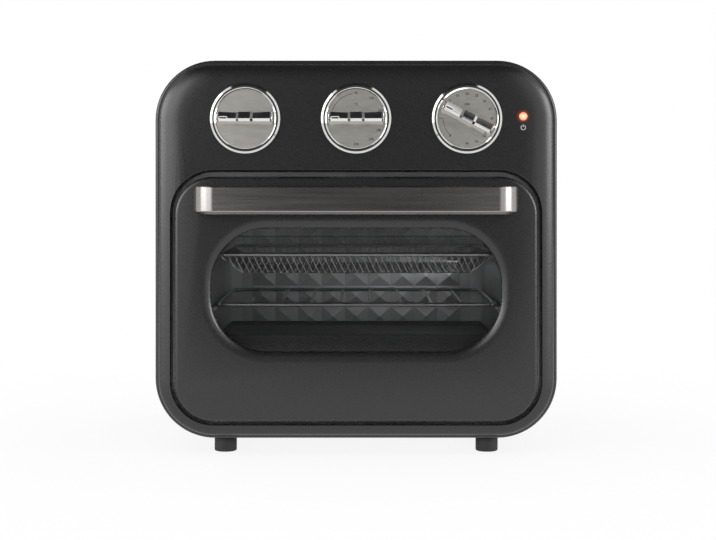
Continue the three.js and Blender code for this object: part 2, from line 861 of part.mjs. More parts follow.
function lowerHeater() {
  const bend = (lowerHeaterRearY - lowerHeaterFrontY) / 2;
  const middleY = (lowerHeaterRearY + lowerHeaterFrontY) / 2;
  const bendX = bend - lowerHeaterReach;
  const end = cavityHalfWidth + sheetThickness + heaterTerminal;
  const arc = new Arc(bendX, middleY, lowerHeaterZ, bend, Math.PI / 2, 1.5 * Math.PI);
  const legs = [lowerHeaterFrontY, lowerHeaterRearY].map((y) => cylinderX(
    heaterRadius, bendX - heaterRadius / 2, end, y, lowerHeaterZ, smallSides));
  return joined([tubeAlong(arc, heaterRadius, smallSides, smallSides), ...legs]);
}

function upperHeaterEnds() {
  return [-upperHeaterOpening, upperHeaterOpening].map((angle) => [
    upperHeaterRingRadius * Math.cos(angle),
    fanY + upperHeaterRingRadius * Math.sin(angle),
  ]);
}

function upperHeater() {
  const ring = new Arc(
    0, fanY, upperHeaterZ, upperHeaterRingRadius, upperHeaterOpening, 2 * Math.PI - upperHeaterOpening);
  const top = cavityCeiling + sheetThickness + heaterTerminal;
  const legs = upperHeaterEnds().map(([x, y]) => cylinderZ(
    heaterRadius, upperHeaterZ - heaterRadius / 2, top, x, y, smallSides));
  return joined([tubeAlong(ring, heaterRadius, roundSides), ...legs]);
}

// Fans: a disc with bowed upright blades and a hub

function impeller(discZ, radius, bladeHeight, bladeCount) {
  const top = discZ + fanDiscThickness;
  const bottom = discZ - bladeHeight;
  const disc = cylinderZ(radius, discZ, top, 0, fanY, roundSides);
  const hub = cylinderZ(fanHubRadius, bottom, top, 0, fanY, roundSides);
  const inner = fanHubRadius - fanBladeThickness;
  const outer = radius - fanBladeThickness;
  const middle = (inner + outer) / 2;
  const blades = [];
  for (let i = 0; i < bladeCount; i += 1) {
    const shape = new THREE.Shape();
    shape.moveTo(inner, 0);
    shape.quadraticCurveTo(middle, fanBladeBow, outer, 0);
    shape.lineTo(outer, fanBladeThickness);
    shape.quadraticCurveTo(middle, fanBladeBow + fanBladeThickness, inner, fanBladeThickness);
    const geometry = extrusion(shape, bladeHeight + fanDiscThickness / 2, wireArcSteps);
    geometry.rotateZ((2 * Math.PI * i) / bladeCount);
    blades.push(solidOf(geometry.translate(0, fanY, bottom)));
  }
  const bore = cylinderZ(shaftRadius + seatGap, bottom - overrun, top + overrun, 0, fanY, roundSides);
  return joined([disc, hub, ...blades]).subtract(bore);
}

function fanShaft() {
  return cylinderZ(shaftRadius, shaftBottom, shaftTop, 0, fanY, roundSides);
}

// An inverted pan around the fan and its heater, with a ring of radial slots
function fanGuard() {
  const width = 2 * guardHalfWidth;
  const depth = 2 * guardHalfDepth;
  const top = cavityCeiling - seatGap;
  const outer = prismZ(roundedRectangle(width, depth, guardCornerRadius, 0, fanY), guardZ, top);
  const hollowShape = roundedRectangle(
    width - 2 * sheetThickness, depth - 2 * sheetThickness, guardCornerRadius - sheetThickness, 0, fanY);
  const cutters = [prismZ(hollowShape, guardZ + sheetThickness, top + overrun)];
  const slotMiddle = (guardSlotInner + guardSlotOuter) / 2;
  for (let i = 0; i < guardSlotCount; i += 1) {
    const shape = slotShape(guardSlotOuter - guardSlotInner, guardSlotWidth, slotMiddle, 0);
    const geometry = extrusion(shape, sheetThickness + 2 * overrun, coarseArcSteps);
    geometry.rotateZ((2 * Math.PI * i) / guardSlotCount);
    cutters.push(solidOf(geometry.translate(0, fanY, guardZ - overrun)));
  }
  return cut(outer, cutters);
}

// A sheet bridge that holds the motor above the ceiling
function motorBracket() {
  const seat = cavityCeiling + sheetThickness + seatGap;
  const half = bracketHalfLength;
  const top = bracketTop;
  const t = bracketThickness;
  const side = polygon([
    [-half - bracketFoot, seat],
    [-half + t, seat],
    [-half + t, top - t],
    [half - t, top - t],
    [half - t, seat],
    [half + bracketFoot, seat],
    [half + bracketFoot, seat + t],
    [half, seat + t],
    [half, top],
    [-half, top],
    [-half, seat + t],
    [-half - bracketFoot, seat + t],
  ]);
  const bridge = prismY(side, fanY - bracketHalfWidth, fanY + bracketHalfWidth);
  const hole = cylinderZ(shaftHoleRadius, top - overrun - t, top + overrun, 0, fanY, roundSides);
  return bridge.subtract(hole);
}

function fanMotor() {
  const bottom = bracketTop + seatGap;
  const top = bottom + motorHeight;
  const bore = shaftRadius + seatGap;
  return turnedZ([
    [bore, bottom],
    [motorRadius - motorRounding, bottom],
    [motorRadius, bottom + motorRounding],
    [motorRadius, top - motorRounding],
    [motorRadius - motorRounding, top],
    [motorCapRadius, top],
    [motorCapRadius, top + motorCapHeight],
    [0, top + motorCapHeight],
    [0, shaftTop + seatGap],
    [bore, shaftTop + seatGap],
    [bore, bottom],
  ], 0, fanY);
}

// Dials

function dialRing() {
  const middle = (dialRingOuter + dialRingInner) / 2;
  const front = plateRear - dialRingHeight;
  const quarter = (dialRingOuter - dialRingInner) / 4;
  return turnedY([
    [dialRingInner, plateRear],
    [dialRingInner, front],
    [middle, front + dialRingGroove],
    [dialRingOuter - quarter, front],
    [dialRingOuter, front + quarter],
    [dialRingOuter, plateRear],
    [dialRingInner, plateRear],
  ], 0, 0, dialSides);
}

function dialPlate() {
  const disc = cylinderY(dialRingInner - seatGap, plateFront, plateRear, 0, 0, dialSides);
  return disc.subtract(cylinderY(stemRadius + seatGap, plateFront - overrun, overrun, 0, 0));
}

// The grip is a bar that narrows towards its front and has a slight waist beside the hub
function knob() {
  const rear = plateFront - seatGap;
  const halfLength = knobLength / 2;
  const halfWidth = knobWidth / 2;
  const halfWaist = knobWaist / 2;
  const outline = new THREE.Shape();
  outline.moveTo(0, halfWaist);
  outline.lineTo(knobHubRadius - halfLength + halfWidth, halfWidth);
  outline.absarc(halfWidth - halfLength, 0, halfWidth, Math.PI / 2, 1.5 * Math.PI);
  outline.lineTo(0, -halfWaist);
  outline.absarc(halfLength - halfWidth, 0, halfWidth, -Math.PI / 2, Math.PI / 2);
  const bar = softPrismY(outline, -knobFront, rear, knobDraft, knobFront + rear - knobBase, 1, 'front');
  const hubLength = knobFront + knobHubProud + rear;
  const hubGeometry = new THREE.CylinderGeometry(
    knobHubRadius, knobHubFrontRadius, hubLength, roundSides);
  const hub = solidOf(hubGeometry.translate(0, rear - hubLength / 2, 0));
  const stem = cylinderY(stemRadius, rear - knobBase, stemRear, 0, 0, roundSides);
  const pointerStart = knobDraft - halfLength;
  const pointer = block(
    pointerStart, pointerStart + pointerLength, -knobFront - overrun, pointerDepth - knobFront,
    -pointerWidth / 2, pointerWidth / 2);
  return joined([bar.subtract(pointer), hub, stem]);
}

// A switch, thermostat or timer body behind the front frame, with its bush
function controlUnit(width, height, depth) {
  const body = block(-width / 2, width / 2, cavityFront, cavityFront + depth, -height / 2, height / 2);
  const bush = cylinderY(bushRadius, bushFront, cavityFront + overrun, 0, 0, roundSides);
  const bore = cylinderY(stemRadius + seatGap, bushFront - overrun, stemRear + seatGap, 0, 0, roundSides);
  return body.add(bush).subtract(bore);
}

function lampLens() {
  const seat = -seatGap;
  return turnedY([
    [0, seat - lampDome],
    [lampRadius / 2, seat - lampDome],
    [lampRadius, seat - lampDome / 3],
    [lampRadius, seat],
    [lampBarrelRadius, seat],
    [lampBarrelRadius, lampBarrelRear],
    [0, lampBarrelRear],
  ], lampX, lampZ);
}

function lampHolder() {
  const front = lampBarrelRear + seatGap;
  return cylinderY(lampHolderRadius, front, frameFront - seatGap, lampX, lampZ, roundSides);
}

// Door

function hingePlaces() {
  return [-hingeX, hingeX];
}

function doorPosts() {
  const top = doorTop - doorFrameInset - doorPostTopInset;
  const bottom = doorBottom + doorFrameInset + doorPostBottomInset;
  return [[-doorPostX, top], [doorPostX, top], [-doorPostX, bottom], [doorPostX, bottom]];
}

function handleScrewPlaces() {
  return [-1, 1].map((side) => side * (handleHalfLength - handleScrewInset));
}

function doorPanel() {
  const skin = softPrismY(
    doorOutline(0), doorFront, doorPanelRear, doorEdgeRounding, doorEdgeRounding, 2, 'front');
  const faceRear = doorFront + doorWall;
  const hollow = prismY(doorOutline(doorWall), faceRear, doorPanelRear + overrun, outlineSteps);
  const rollMargin = windowRollOuter + windowRollInner;
  const collar = prismY(
    windowOutline(rollMargin + windowCollarWall), faceRear - doorWall / 2, windowCollarRear, outlineSteps);
  const rollMiddle = doorFront + windowRollOuterDepth;
  const throat = prismY(windowOutline(0), doorFront - overrun, windowCollarRear + overrun, outlineSteps);
  const innerRoll = flaredCutterY(windowOutline(0), windowRollInner, rollMiddle, windowCollarRear);
  const outerRoll = flaredCutterY(
    windowOutline(windowRollInner), windowRollOuter, doorFront, rollMiddle);
  const additions = [skin.subtract(hollow), collar];
  const cutters = [throat, innerRoll, outerRoll];
  for (const [x, z] of doorPosts()) {
    const postRear = doorFrameRear - sheetThickness - seatGap;
    additions.push(cylinderY(doorPostRadius, faceRear - doorWall / 2, postRear, x, z));
    cutters.push(cylinderY(
      frameScrewShank + seatGap, postRear - frameScrewReach - seatGap, postRear + overrun, x, z));
  }
  const earSlot = hingeEarThickness / 2 + hingeSideGap;
  for (const x of hingePlaces()) {
    for (const side of [-1, 1]) {
      const near = x + side * earSlot;
      const far = near + side * hingeRibThickness;
      additions.push(block(
        Math.min(near, far), Math.max(near, far), faceRear - doorWall / 2, hingeY + hingeRibDepth,
        doorBottom + doorWall / 2, hingeZ + hingeRibRise));
    }
    const reach = earSlot + hingeRibThickness + overrun;
    cutters.push(cylinderX(hingePinRadius + seatGap, x - reach, x + reach, hingeY, hingeZ));
    cutters.push(block(
      x - earSlot, x + earSlot, faceRear, doorPanelRear + overrun,
      doorBottom - overrun, doorBottom + doorWall + overrun));
  }
  for (const x of handleScrewPlaces()) {
    cutters.push(cylinderY(
      handleScrewRadius + seatGap, doorFront - overrun, faceRear + overrun, x, handleMiddle));
  }
  return cut(joined(additions), cutters);
}

function doorGlass() {
  const width = 2 * (windowHalfWidth + glassMargin);
  const shape = roundedRectangle(
    width, windowHeight + 2 * glassMargin, glassCornerRadius, 0, windowMiddle);
  return prismY(shape, glassFront, glassRear);
}

// A pressed pan: flat at the rear, with its outer and window edges turned forward
function doorInnerFrame() {
  const pan = prismY(doorOutline(doorFrameInset), doorFrameFront, doorFrameRear);
  const pocketShape = doorOutline(doorFrameInset + sheetThickness);
  const pocketRear = doorFrameRear - sheetThickness;
  const pocket = prismY(pocketShape, doorFrameFront - overrun, pocketRear);
  const collar = prismY(windowOutline(doorFrameLap + sheetThickness), doorFrameFront, doorFrameRear);
  const throat = prismY(windowOutline(doorFrameLap), doorFrameFront - overrun, doorFrameRear + overrun);
  const holes = doorPosts().map(([x, z]) => cylinderY(
    frameScrewShank + seatGap, pocketRear - overrun, doorFrameRear + overrun, x, z));
  return cut(pan.subtract(pocket).add(collar), [throat, ...holes]);
}

function frameScrew() {
  const headFront = doorFrameRear + seatGap;
  const head = cylinderY(frameScrewRadius, headFront, headFront + frameScrewHead, 0, 0);
  const tip = doorFrameRear - sheetThickness - seatGap - frameScrewReach;
  const shank = cylinderY(frameScrewShank, tip, headFront + frameScrewHead / 2, 0, 0);
  return head.add(shank);
}

function doorHandle() {
  const outer = handleHalfLength;
  const inner = outer - handleThickness;
  const back = doorFront - seatGap;
  const bend = handleBendRadius;
  const innerBend = bend - handleThickness;
  const tab = outer - handleTabLength;
  const plan = new THREE.Shape();
  plan.moveTo(-tab, back);
  plan.lineTo(-outer, back);
  plan.absarc(bend - outer, handleFront + bend, bend, Math.PI, 1.5 * Math.PI);
  plan.absarc(outer - bend, handleFront + bend, bend, 1.5 * Math.PI, 2 * Math.PI);
  plan.lineTo(outer, back);
  plan.lineTo(tab, back);
  plan.lineTo(tab, back - handleThickness);
  plan.lineTo(inner, back - handleThickness);
  plan.absarc(outer - bend, handleFront + bend, innerBend, 0, -Math.PI / 2, true);
  plan.absarc(bend - outer, handleFront + bend, innerBend, -Math.PI / 2, -Math.PI, true);
  plan.lineTo(-inner, back - handleThickness);
  plan.lineTo(-tab, back - handleThickness);
  const geometry = new THREE.ExtrudeGeometry(plan, {
    depth: handleHeight - 2 * handleEdgeHeight,
    bevelEnabled: true,
    bevelThickness: handleEdgeHeight,
    bevelSize: handleEdge,
    bevelOffset: -handleEdge,
    bevelSegments: 2,
    curveSegments: arcSteps,
  });
  const strap = solidOf(geometry.translate(0, 0, handleMiddle - handleHeight / 2 + handleEdgeHeight));
  const holes = handleScrewPlaces().map((x) => cylinderY(
    handleScrewRadius + seatGap, back - handleThickness - overrun, back + overrun, x, handleMiddle));
  return cut(strap, holes);
}

function handleScrew() {
  const headFront = doorFront + doorWall + seatGap;
  const head = cylinderY(handleScrewHeadRadius, headFront, headFront + handleScrewHead, 0, 0);
  const tip = doorFront - seatGap - handleThickness;
  const shank = cylinderY(handleScrewRadius, tip, headFront + handleScrewHead / 2, 0, 0);
  return head.add(shank);
}

// An ear that reaches forward from the front frame into the foot of the door
function hingeBracket() {
  const rear = frameFront - seatGap;
  const flangeFront = rear - hingeFlangeThickness;
  const ear = new THREE.Shape();
  ear.moveTo(rear - hingeFlangeThickness / 2, hingeZ - hingeEarRadius);
  ear.lineTo(rear - hingeFlangeThickness / 2, hingeZ + hingeEarRise);
  ear.lineTo(hingeY + hingeEarRadius, hingeZ + hingeEarRise);
  ear.absarc(hingeY, hingeZ, hingeEarRadius, Math.PI / 4, 1.5 * Math.PI);
  const half = hingeEarThickness / 2;
  const flange = block(
    -hingeFlangeHalfWidth, hingeFlangeHalfWidth, flangeFront, rear,
    hingeZ - hingeFlangeDrop, hingeZ + hingeFlangeRise);
  const hole = cylinderX(hingePinRadius + seatGap, -half - overrun, half + overrun, hingeY, hingeZ);
  return prismX(ear, -half, half).add(flange).subtract(hole);
}

function hingePin() {
  const reach = hingeEarThickness / 2 + hingeSideGap + hingeRibThickness;
  return cylinderX(hingePinRadius, -reach, reach, hingeY, hingeZ);
}

// Racks, basket and tray

// A closed loop of round wire, drawn as a ring with eight-sided section, thicker by room all round
function wireLoop(z, room = 0) {
  const outside = rackHalfWidth + room;
  const thick = rackWire + 2 * room;
  const deep = rackDepth + 2 * room;
  const shape = roundedRectangle(2 * outside, deep, rackCornerRadius + room, 0, rackMiddleY);
  const insideWidth = 2 * (outside - thick);
  const inside = roundedRectangle(
    insideWidth, deep - 2 * thick, rackCornerRadius + room - thick, 0, rackMiddleY);
  shape.holes.push(inside);
  const corner = thick * (1 - Math.SQRT1_2);
  const geometry = new THREE.ExtrudeGeometry(shape, {
    depth: thick - 2 * corner,
    bevelEnabled: true,
    bevelThickness: corner,
    bevelSize: corner,
    bevelOffset: -corner,
    bevelSegments: 1,
    curveSegments: wireArcSteps,
  });
  return solidOf(geometry.translate(0, 0, z - thick / 2 + corner));
}

function wireRack() {
  const pieces = [wireLoop(wireRackZ)];
  for (let i = 0; i < rackRodCount; i += 1) {
    const x = (i - (rackRodCount - 1) / 2) * rackRodPitch;
    const from = rackFront + rackWire / 2;
    const to = rackRear - rackWire / 2;
    pieces.push(cylinderY(rackRodRadius, from, to, x, wireRackZ, rodSides));
  }
  return joined(pieces);
}

// A tapered tub between the rim and the basket floor, drawn in by an inset
function basketTub(inset, floorZ, topZ) {
  const rimHalf = rackHalfWidth - rackWire / 2 - inset;
  const floorHalf = basketFloorHalfWidth - inset;
  const front = rackFront + rackWire / 2 + inset;
  const rear = rackRear - rackWire / 2 - inset;
  const frontOutline = polygon([
    [-floorHalf, floorZ], [floorHalf, floorZ], [rimHalf, topZ], [-rimHalf, topZ],
  ]);
  const sideOutline = polygon([
    [front + basketEndSlope, floorZ], [rear - basketEndSlope, floorZ], [rear, topZ], [front, topZ],
  ]);
  return prismY(frontOutline, front, rear).intersect(prismX(sideOutline, -rimHalf, rimHalf));
}

function diamond(halfWidth, halfHeight) {
  return polygon([[halfWidth, 0], [0, halfHeight], [-halfWidth, 0], [0, -halfHeight]]);
}

// The basket's whole skin: a tub of thin sheet with rows of diamond gaps, open under the rim wire
function basketSkin() {
  const outer = basketTub(0, basketFloorZ, basketRimZ);
  const inner = basketTub(basketSheet, basketFloorZ + basketSheet, basketRimZ + overrun);
  const cutters = [wireLoop(basketRimZ, seatGap)];
  const columns = (basketGapColumns - 1) / 2;
  const rows = (basketGapRows - 1) / 2;
  for (let column = -columns; column <= columns; column += 1) {
    for (let row = -rows; row <= rows; row += 1) {
      const floorGap = diamond(basketColumnPitch * basketGapShare, basketRowPitch * basketGapShare);
      const gap = extrusion(floorGap, basketSheet + 2 * overrun);
      const x = column * basketColumnPitch;
      const y = rackMiddleY + row * basketRowPitch;
      cutters.push(solidOf(gap.translate(x, y, basketFloorZ - overrun)));
    }
  }
  const wallMiddle = (basketFloorZ + basketRimZ) / 2;
  const endGap = diamond(basketColumnPitch * basketWallGapShare, basketWallGapHeight / 2);
  for (let column = -columns; column <= columns; column += 1) {
    const gap = extrusion(endGap, rackDepth + 2 * overrun);
    gap.applyMatrix4(frontView);
    cutters.push(solidOf(gap.translate(column * basketColumnPitch, rackRear + overrun, wallMiddle)));
  }
  const sideGap = diamond(basketRowPitch * basketWallGapShare, basketWallGapHeight / 2);
  for (let row = -rows; row <= rows; row += 1) {
    const gap = extrusion(sideGap, 2 * rackHalfWidth + 2 * overrun);
    gap.applyMatrix4(sideView);
    const y = rackMiddleY + row * basketRowPitch;
    cutters.push(solidOf(gap.translate(-rackHalfWidth - overrun, y, wallMiddle)));
  }
  return outer.subtract(inner).subtract(joined(cutters));
}

// The skin comes apart into a floor and four walls, each a flat panel edge to edge with the next
function basketPanels() {
  const skin = basketSkin();
  const half = rackHalfWidth;
  const floorTop = basketFloorZ + basketSheet;
  const foot = floorTop + seatGap;
  const wallTop = basketRimZ - rackWire / 3;
  const endDepth = rackWire / 2 + basketEndSlope + basketSheet;
  const frontEdge = rackFront + endDepth;
  const rearEdge = rackRear - endDepth;
  const sideFront = frontEdge + seatGap;
  const sideRear = rearEdge - seatGap;
  return {
    mesh_basket: skin.intersect(block(-half, half, rackFront, rackRear, basketFloorZ, floorTop)),
    basket_front_wall: skin.intersect(block(-half, half, rackFront, frontEdge, foot, wallTop)),
    basket_rear_wall: skin.intersect(block(-half, half, rearEdge, rackRear, foot, wallTop)),
    basket_left_wall: skin.intersect(block(-half, 0, sideFront, sideRear, foot, wallTop)),
    basket_right_wall: skin.intersect(block(0, half, sideFront, sideRear, foot, wallTop)),
  };
}

// The rim wire carries a strip that raises the basket's back
function basketRim() {
  const rear = rackRear - rackWire / 2;
  const half = rackHalfWidth - rackCornerRadius;
  const raised = block(
    -half, half, rear - basketSheet, rear, basketRimZ, basketRimZ + basketBackRise);
  return wireLoop(basketRimZ).add(raised);
}

function dripTray() {
  const half = rackHalfWidth;
  const front = rackFront;
  const t = sheetThickness;
  const floor = block(-half, half, front, rackRear, trayFloorZ, trayTop);
  const edgeTop = trayTop + trayEdgeHeight;
  const left = block(-half, t - half, front, rackRear, trayFloorZ, edgeTop);
  const right = block(half - t, half, front, rackRear, trayFloorZ, edgeTop);
  const back = block(-half, half, rackRear - t, rackRear, trayFloorZ, edgeTop);
  const panelHalf = cavityHalfWidth - guideProtrusion - 2 * seatGap;
  const panelTop = trayFloorZ + trayPanelRise;
  const panel = block(
    -panelHalf, panelHalf, front - trayPanelThickness, front + t / 2,
    trayFloorZ - trayPanelDrop, panelTop);
  const roll = cylinderX(trayPanelThickness, -panelHalf, panelHalf, front, panelTop, wireSides);
  return joined([floor, left, right, back, panel, roll]);
}

// Materials

function material(color, roughness, metalness, extra = {}) {
  return new THREE.MeshStandardMaterial({ color, roughness, metalness, ...extra });
}

const charcoalPaint = () => material(0x35363a, 0.42, 0.25);
const charcoalPlastic = () => material(0x333437, 0.45, 0.1);
const blackPlastic = () => material(0x17181a, 0.5, 0);
const chrome = () => material(0xd8d8d4, 0.08, 1);
const brushedDark = () => material(0x5a5754, 0.3, 1);
const dialMetal = () => material(0x8f8b80, 0.35, 0.9);
const cavitySteel = () => material(0x6a6c6e, 0.35, 0.8);
const galvanized = () => material(0x8b8f92, 0.4, 0.8);
const enamel = () => material(0x141516, 0.25, 0.2);
const wireChrome = () => material(0xb4b6b8, 0.2, 1);
const rubber = () => material(0x202123, 0.8, 0);
const glass = () => material(0x1b1d1f, 0.05, 0, { transparent: true, opacity: 0.3 });
const amber = () => material(0xff8a2a, 0.3, 0, { emissive: 0xff6a10 });

// Assembly

const oven = new THREE.Group();

function addPiece(parent, name, solid, look, x = 0, y = 0, z = 0) {
  const mesh = new THREE.Mesh(geometryOf(solid), look);
  mesh.name = name;
  mesh.position.set(x, y, z);
  parent.add(mesh);
  return mesh;
}

addPiece(oven, 'outer_wrap', outerWrap(), charcoalPaint());
addPiece(oven, 'rear_cover', rearCover(), charcoalPaint());
addPiece(oven, 'cord_inlet', cordInlet(), blackPlastic());
addPiece(oven, 'base_plate', basePlate(), galvanized());
['foot_front_left', 'foot_front_right', 'foot_rear_left', 'foot_rear_right'].forEach((name, i) => {
  const [x, y] = footPlaces()[i];
  addPiece(oven, name, foot(), rubber(), x, y);
});

addPiece(oven, 'front_fascia', frontFascia(), charcoalPlastic());
addPiece(oven, 'front_frame', frontFrame(), galvanized());
addPiece(oven, 'door_seal', doorSeal(), rubber());

addPiece(oven, 'cavity_side_left', cavitySide(-1), cavitySteel());
addPiece(oven, 'cavity_side_right', cavitySide(1), cavitySteel());
addPiece(oven, 'cavity_floor', cavityFloorSheet(), cavitySteel());
addPiece(oven, 'cavity_ceiling', cavityCeilingSheet(), cavitySteel());
addPiece(oven, 'cavity_back', cavityBackWall(), cavitySteel());

addPiece(oven, 'lower_heater', lowerHeater(), brushedDark());
addPiece(oven, 'upper_heater', upperHeater(), brushedDark());
addPiece(oven, 'fan_guard', fanGuard(), cavitySteel());
addPiece(oven, 'motor_bracket', motorBracket(), galvanized());
addPiece(oven, 'fan_motor', fanMotor(), galvanized());

const fan = new THREE.Group();
oven.add(fan);
addPiece(fan, 'fan_shaft', fanShaft(), brushedDark());
addPiece(fan, 'circulation_fan', impeller(fanDiscZ, fanRadius, fanBladeHeight, fanBladeCount), galvanized());
addPiece(
  fan, 'cooling_fan', impeller(coolingTop, coolingRadius, coolingBladeHeight, coolingBladeCount),
  galvanized());

const controls = ['function', 'temperature', 'timer'];
controls.forEach((control, i) => {
  const dial = new THREE.Group();
  dial.position.set(dialPlaces()[i], 0, dialZ);
  oven.add(dial);
  addPiece(dial, `${control}_dial_ring`, dialRing(), chrome());
  addPiece(dial, `${control}_dial_plate`, dialPlate(), dialMetal());
  const grip = addPiece(dial, `${control}_knob`, knob(), brushedDark());
  if (control === 'timer') {
    grip.rotation.y = timerRestAngle;
  }
});
addPiece(
  oven, 'function_switch', controlUnit(controlWidth, controlHeight, controlDepth), blackPlastic(),
  -dialPitch, 0, dialZ);
addPiece(
  oven, 'thermostat', controlUnit(controlHeight, controlHeight, controlDepth), galvanized(), 0, 0, dialZ);
addPiece(
  oven, 'timer_movement', controlUnit(controlWidth, controlWidth, controlDepth), galvanized(),
  dialPitch, 0, dialZ);
addPiece(oven, 'lamp_lens', lampLens(), amber());
addPiece(oven, 'lamp_holder', lampHolder(), blackPlastic());

const door = new THREE.Group();
oven.add(door);
addPiece(door, 'door_panel', doorPanel(), charcoalPlastic());
addPiece(door, 'door_glass', doorGlass(), glass());
addPiece(door, 'door_inner_frame', doorInnerFrame(), charcoalPaint());
addPiece(door, 'door_handle', doorHandle(), brushedDark());
['handle_screw_left', 'handle_screw_right'].forEach((name, i) => {
  addPiece(door, name, handleScrew(), chrome(), handleScrewPlaces()[i], 0, handleMiddle);
});
['upper_left', 'upper_right', 'lower_left', 'lower_right'].forEach((place, i) => {
  const [x, z] = doorPosts()[i];
  addPiece(door, `frame_screw_${place}`, frameScrew(), chrome(), x, 0, z);
});
['left', 'right'].forEach((side, i) => {
  addPiece(oven, `hinge_bracket_${side}`, hingeBracket(), galvanized(), hingePlaces()[i]);
  addPiece(door, `hinge_pin_${side}`, hingePin(), chrome(), hingePlaces()[i]);
});

addPiece(oven, 'wire_rack', wireRack(), wireChrome());
const basket = new THREE.Group();
oven.add(basket);
for (const [name, panel] of Object.entries(basketPanels())) {
  addPiece(basket, name, panel, wireChrome());
}
addPiece(basket, 'basket_rim', basketRim(), wireChrome());
addPiece(oven, 'drip_tray', dripTray(), enamel());

// The finished part stands centred over its origin
oven.position.y = -(handleFront + rearmost) / 2;

export default oven;
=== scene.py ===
import bmesh
import bpy
import numpy as np
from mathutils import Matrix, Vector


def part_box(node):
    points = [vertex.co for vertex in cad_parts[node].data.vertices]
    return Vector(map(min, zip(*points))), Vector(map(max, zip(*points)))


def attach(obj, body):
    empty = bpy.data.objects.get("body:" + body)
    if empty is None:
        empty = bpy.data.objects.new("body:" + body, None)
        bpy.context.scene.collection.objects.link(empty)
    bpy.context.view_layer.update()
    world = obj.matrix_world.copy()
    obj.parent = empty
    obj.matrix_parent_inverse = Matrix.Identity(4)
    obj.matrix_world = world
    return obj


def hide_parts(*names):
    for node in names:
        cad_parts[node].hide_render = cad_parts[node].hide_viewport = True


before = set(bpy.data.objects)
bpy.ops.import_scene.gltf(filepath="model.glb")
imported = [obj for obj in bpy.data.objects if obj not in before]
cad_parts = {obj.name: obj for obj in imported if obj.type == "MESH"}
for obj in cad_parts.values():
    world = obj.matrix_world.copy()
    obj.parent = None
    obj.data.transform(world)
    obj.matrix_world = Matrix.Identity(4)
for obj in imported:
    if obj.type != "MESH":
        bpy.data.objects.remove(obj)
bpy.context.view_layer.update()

# Outer wrap. The real piece is one sheet of painted steel bent round the body, rolled in
# at its front edge and open underneath, where the base plate closes it.
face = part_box("front_fascia")[0][1]
body_half = 0.175
body_low = 0.0135
body_high = 0.3425
body_corner = 0.052
wrap_front = face + 0.013
wrap_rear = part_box("outer_wrap")[1][1]
sheet = 0.0012
rim_inset = 0.0032
rim_rear = wrap_front + 0.009
rim_round = 0.0022
underside_half = 0.098
underside_low, underside_high = 0.010, 0.022
slot_count = 5
slot_pitch = 0.011
slot_first = 0.024
slot_half = 0.002
slot_low, slot_high = body_high - 0.092, body_high - 0.048
# A cutter reaches past what it cuts, and a pole or a round end keeps a hair's breadth, so
# that its points stay apart.
past = 0.005
hair = 0.00001


def rounded(half_width, low, high, radius, steps=18):
    """Points (x, z) anticlockwise round a rectangle with round corners.

    Each corner is its centre plus radius times (cos a, sin a).
    """
    a = np.linspace(0, np.pi / 2, steps + 1)
    quarter = radius * np.stack((np.cos(a), np.sin(a)), axis=1)
    quarter_turn = np.array([[0, 1], [-1, 0]])
    middle = (low + high) / 2
    corners = []
    for right, up in ((1, 1), (-1, 1), (-1, -1), (1, -1)):
        centre = (right * (half_width - radius), middle + up * (high - middle - radius))
        corners.append(quarter + centre)
        quarter = quarter @ quarter_turn
    return np.concatenate(corners)


def body_outline(inset):
    """The body's front view, drawn in by inset."""
    return rounded(body_half - inset, body_low + inset, body_high - inset, body_corner - inset)


def quarter_round(inset, depth, across, along, start=0, stop=90, steps=7, power=1.0):
    """A round edge from start to stop degrees: points (inset + across * (1 - c), depth - along * s).

    c and s are cos a and sin a raised to power: 1 gives an ellipse, and less gives a fuller edge.
    Each a is chosen so that the edge turns by the same angle from one point to the next.
    """
    turn = np.radians(90 - np.linspace(start, stop, steps))
    share = 1 / (2 - power)
    a = np.arctan2((along * np.cos(turn)) ** share, (abs(across) * np.sin(turn)) ** share)
    return np.stack((inset + across * (1 - np.cos(a) ** power), depth - along * np.sin(a) ** power), axis=1)


def carried(outline, profile):
    """A profile of (inset, depth) points carried round an outline: one row of points for each of them."""
    return np.stack([np.insert(outline(inset), 1, depth, axis=1) for inset, depth in profile])


def grid_faces(grid, loop=False):
    """Quads between the neighbours of a grid, whose rows are closed.

    A loop joins the last row to the first. Without it, each of these two is filled by one face.
    """
    index = np.arange(grid.shape[0] * grid.shape[1]).reshape(grid.shape[:2])
    ends = [index[0][::-1].tolist(), index[-1].tolist()]
    index = np.column_stack((index, index[:, 0]))
    if loop:
        index = np.vstack((index, index[:1]))
    quads = np.stack((index[:-1, :-1], index[:-1, 1:], index[1:, 1:], index[1:, :-1]), axis=-1)
    faces = quads.reshape(-1, 4).tolist()
    return faces if loop else faces + ends


def mesh_object(name, points, faces, sharp):
    """A new object from points and faces, with its doubles merged and its faces turned outwards."""
    mesh = bpy.data.meshes.new(name)
    mesh.from_pydata(points.reshape(-1, 3).tolist(), [], faces)
    work = bmesh.new()
    work.from_mesh(mesh)
    bmesh.ops.remove_doubles(work, verts=work.verts, dist=1e-6)
    bmesh.ops.recalc_face_normals(work, faces=work.faces)
    work.to_mesh(mesh)
    work.free()
    smooth(mesh, sharp)
    obj = bpy.data.objects.new(name, mesh)
    bpy.context.scene.collection.objects.link(obj)
    return obj


def smooth(mesh, sharp):
    """Smooth shading, with edges over sharp degrees kept crisp."""
    mesh.shade_smooth()
    mesh.set_sharp_from_angle(angle=np.radians(sharp))


def surface(name, grid, loop=False, sharp=35):
    """One object from one grid of points."""
    return mesh_object(name, grid, grid_faces(grid, loop), sharp)


def joined(name, parts, sharp=35):
    """One object from several parts, each its points and its faces."""
    faces = []
    first = 0
    for points, loops in parts:
        faces += [[corner + first for corner in loop] for loop in loops]
        first += len(points)
    return mesh_object(name, np.concatenate([points for points, _ in parts]), faces, sharp)


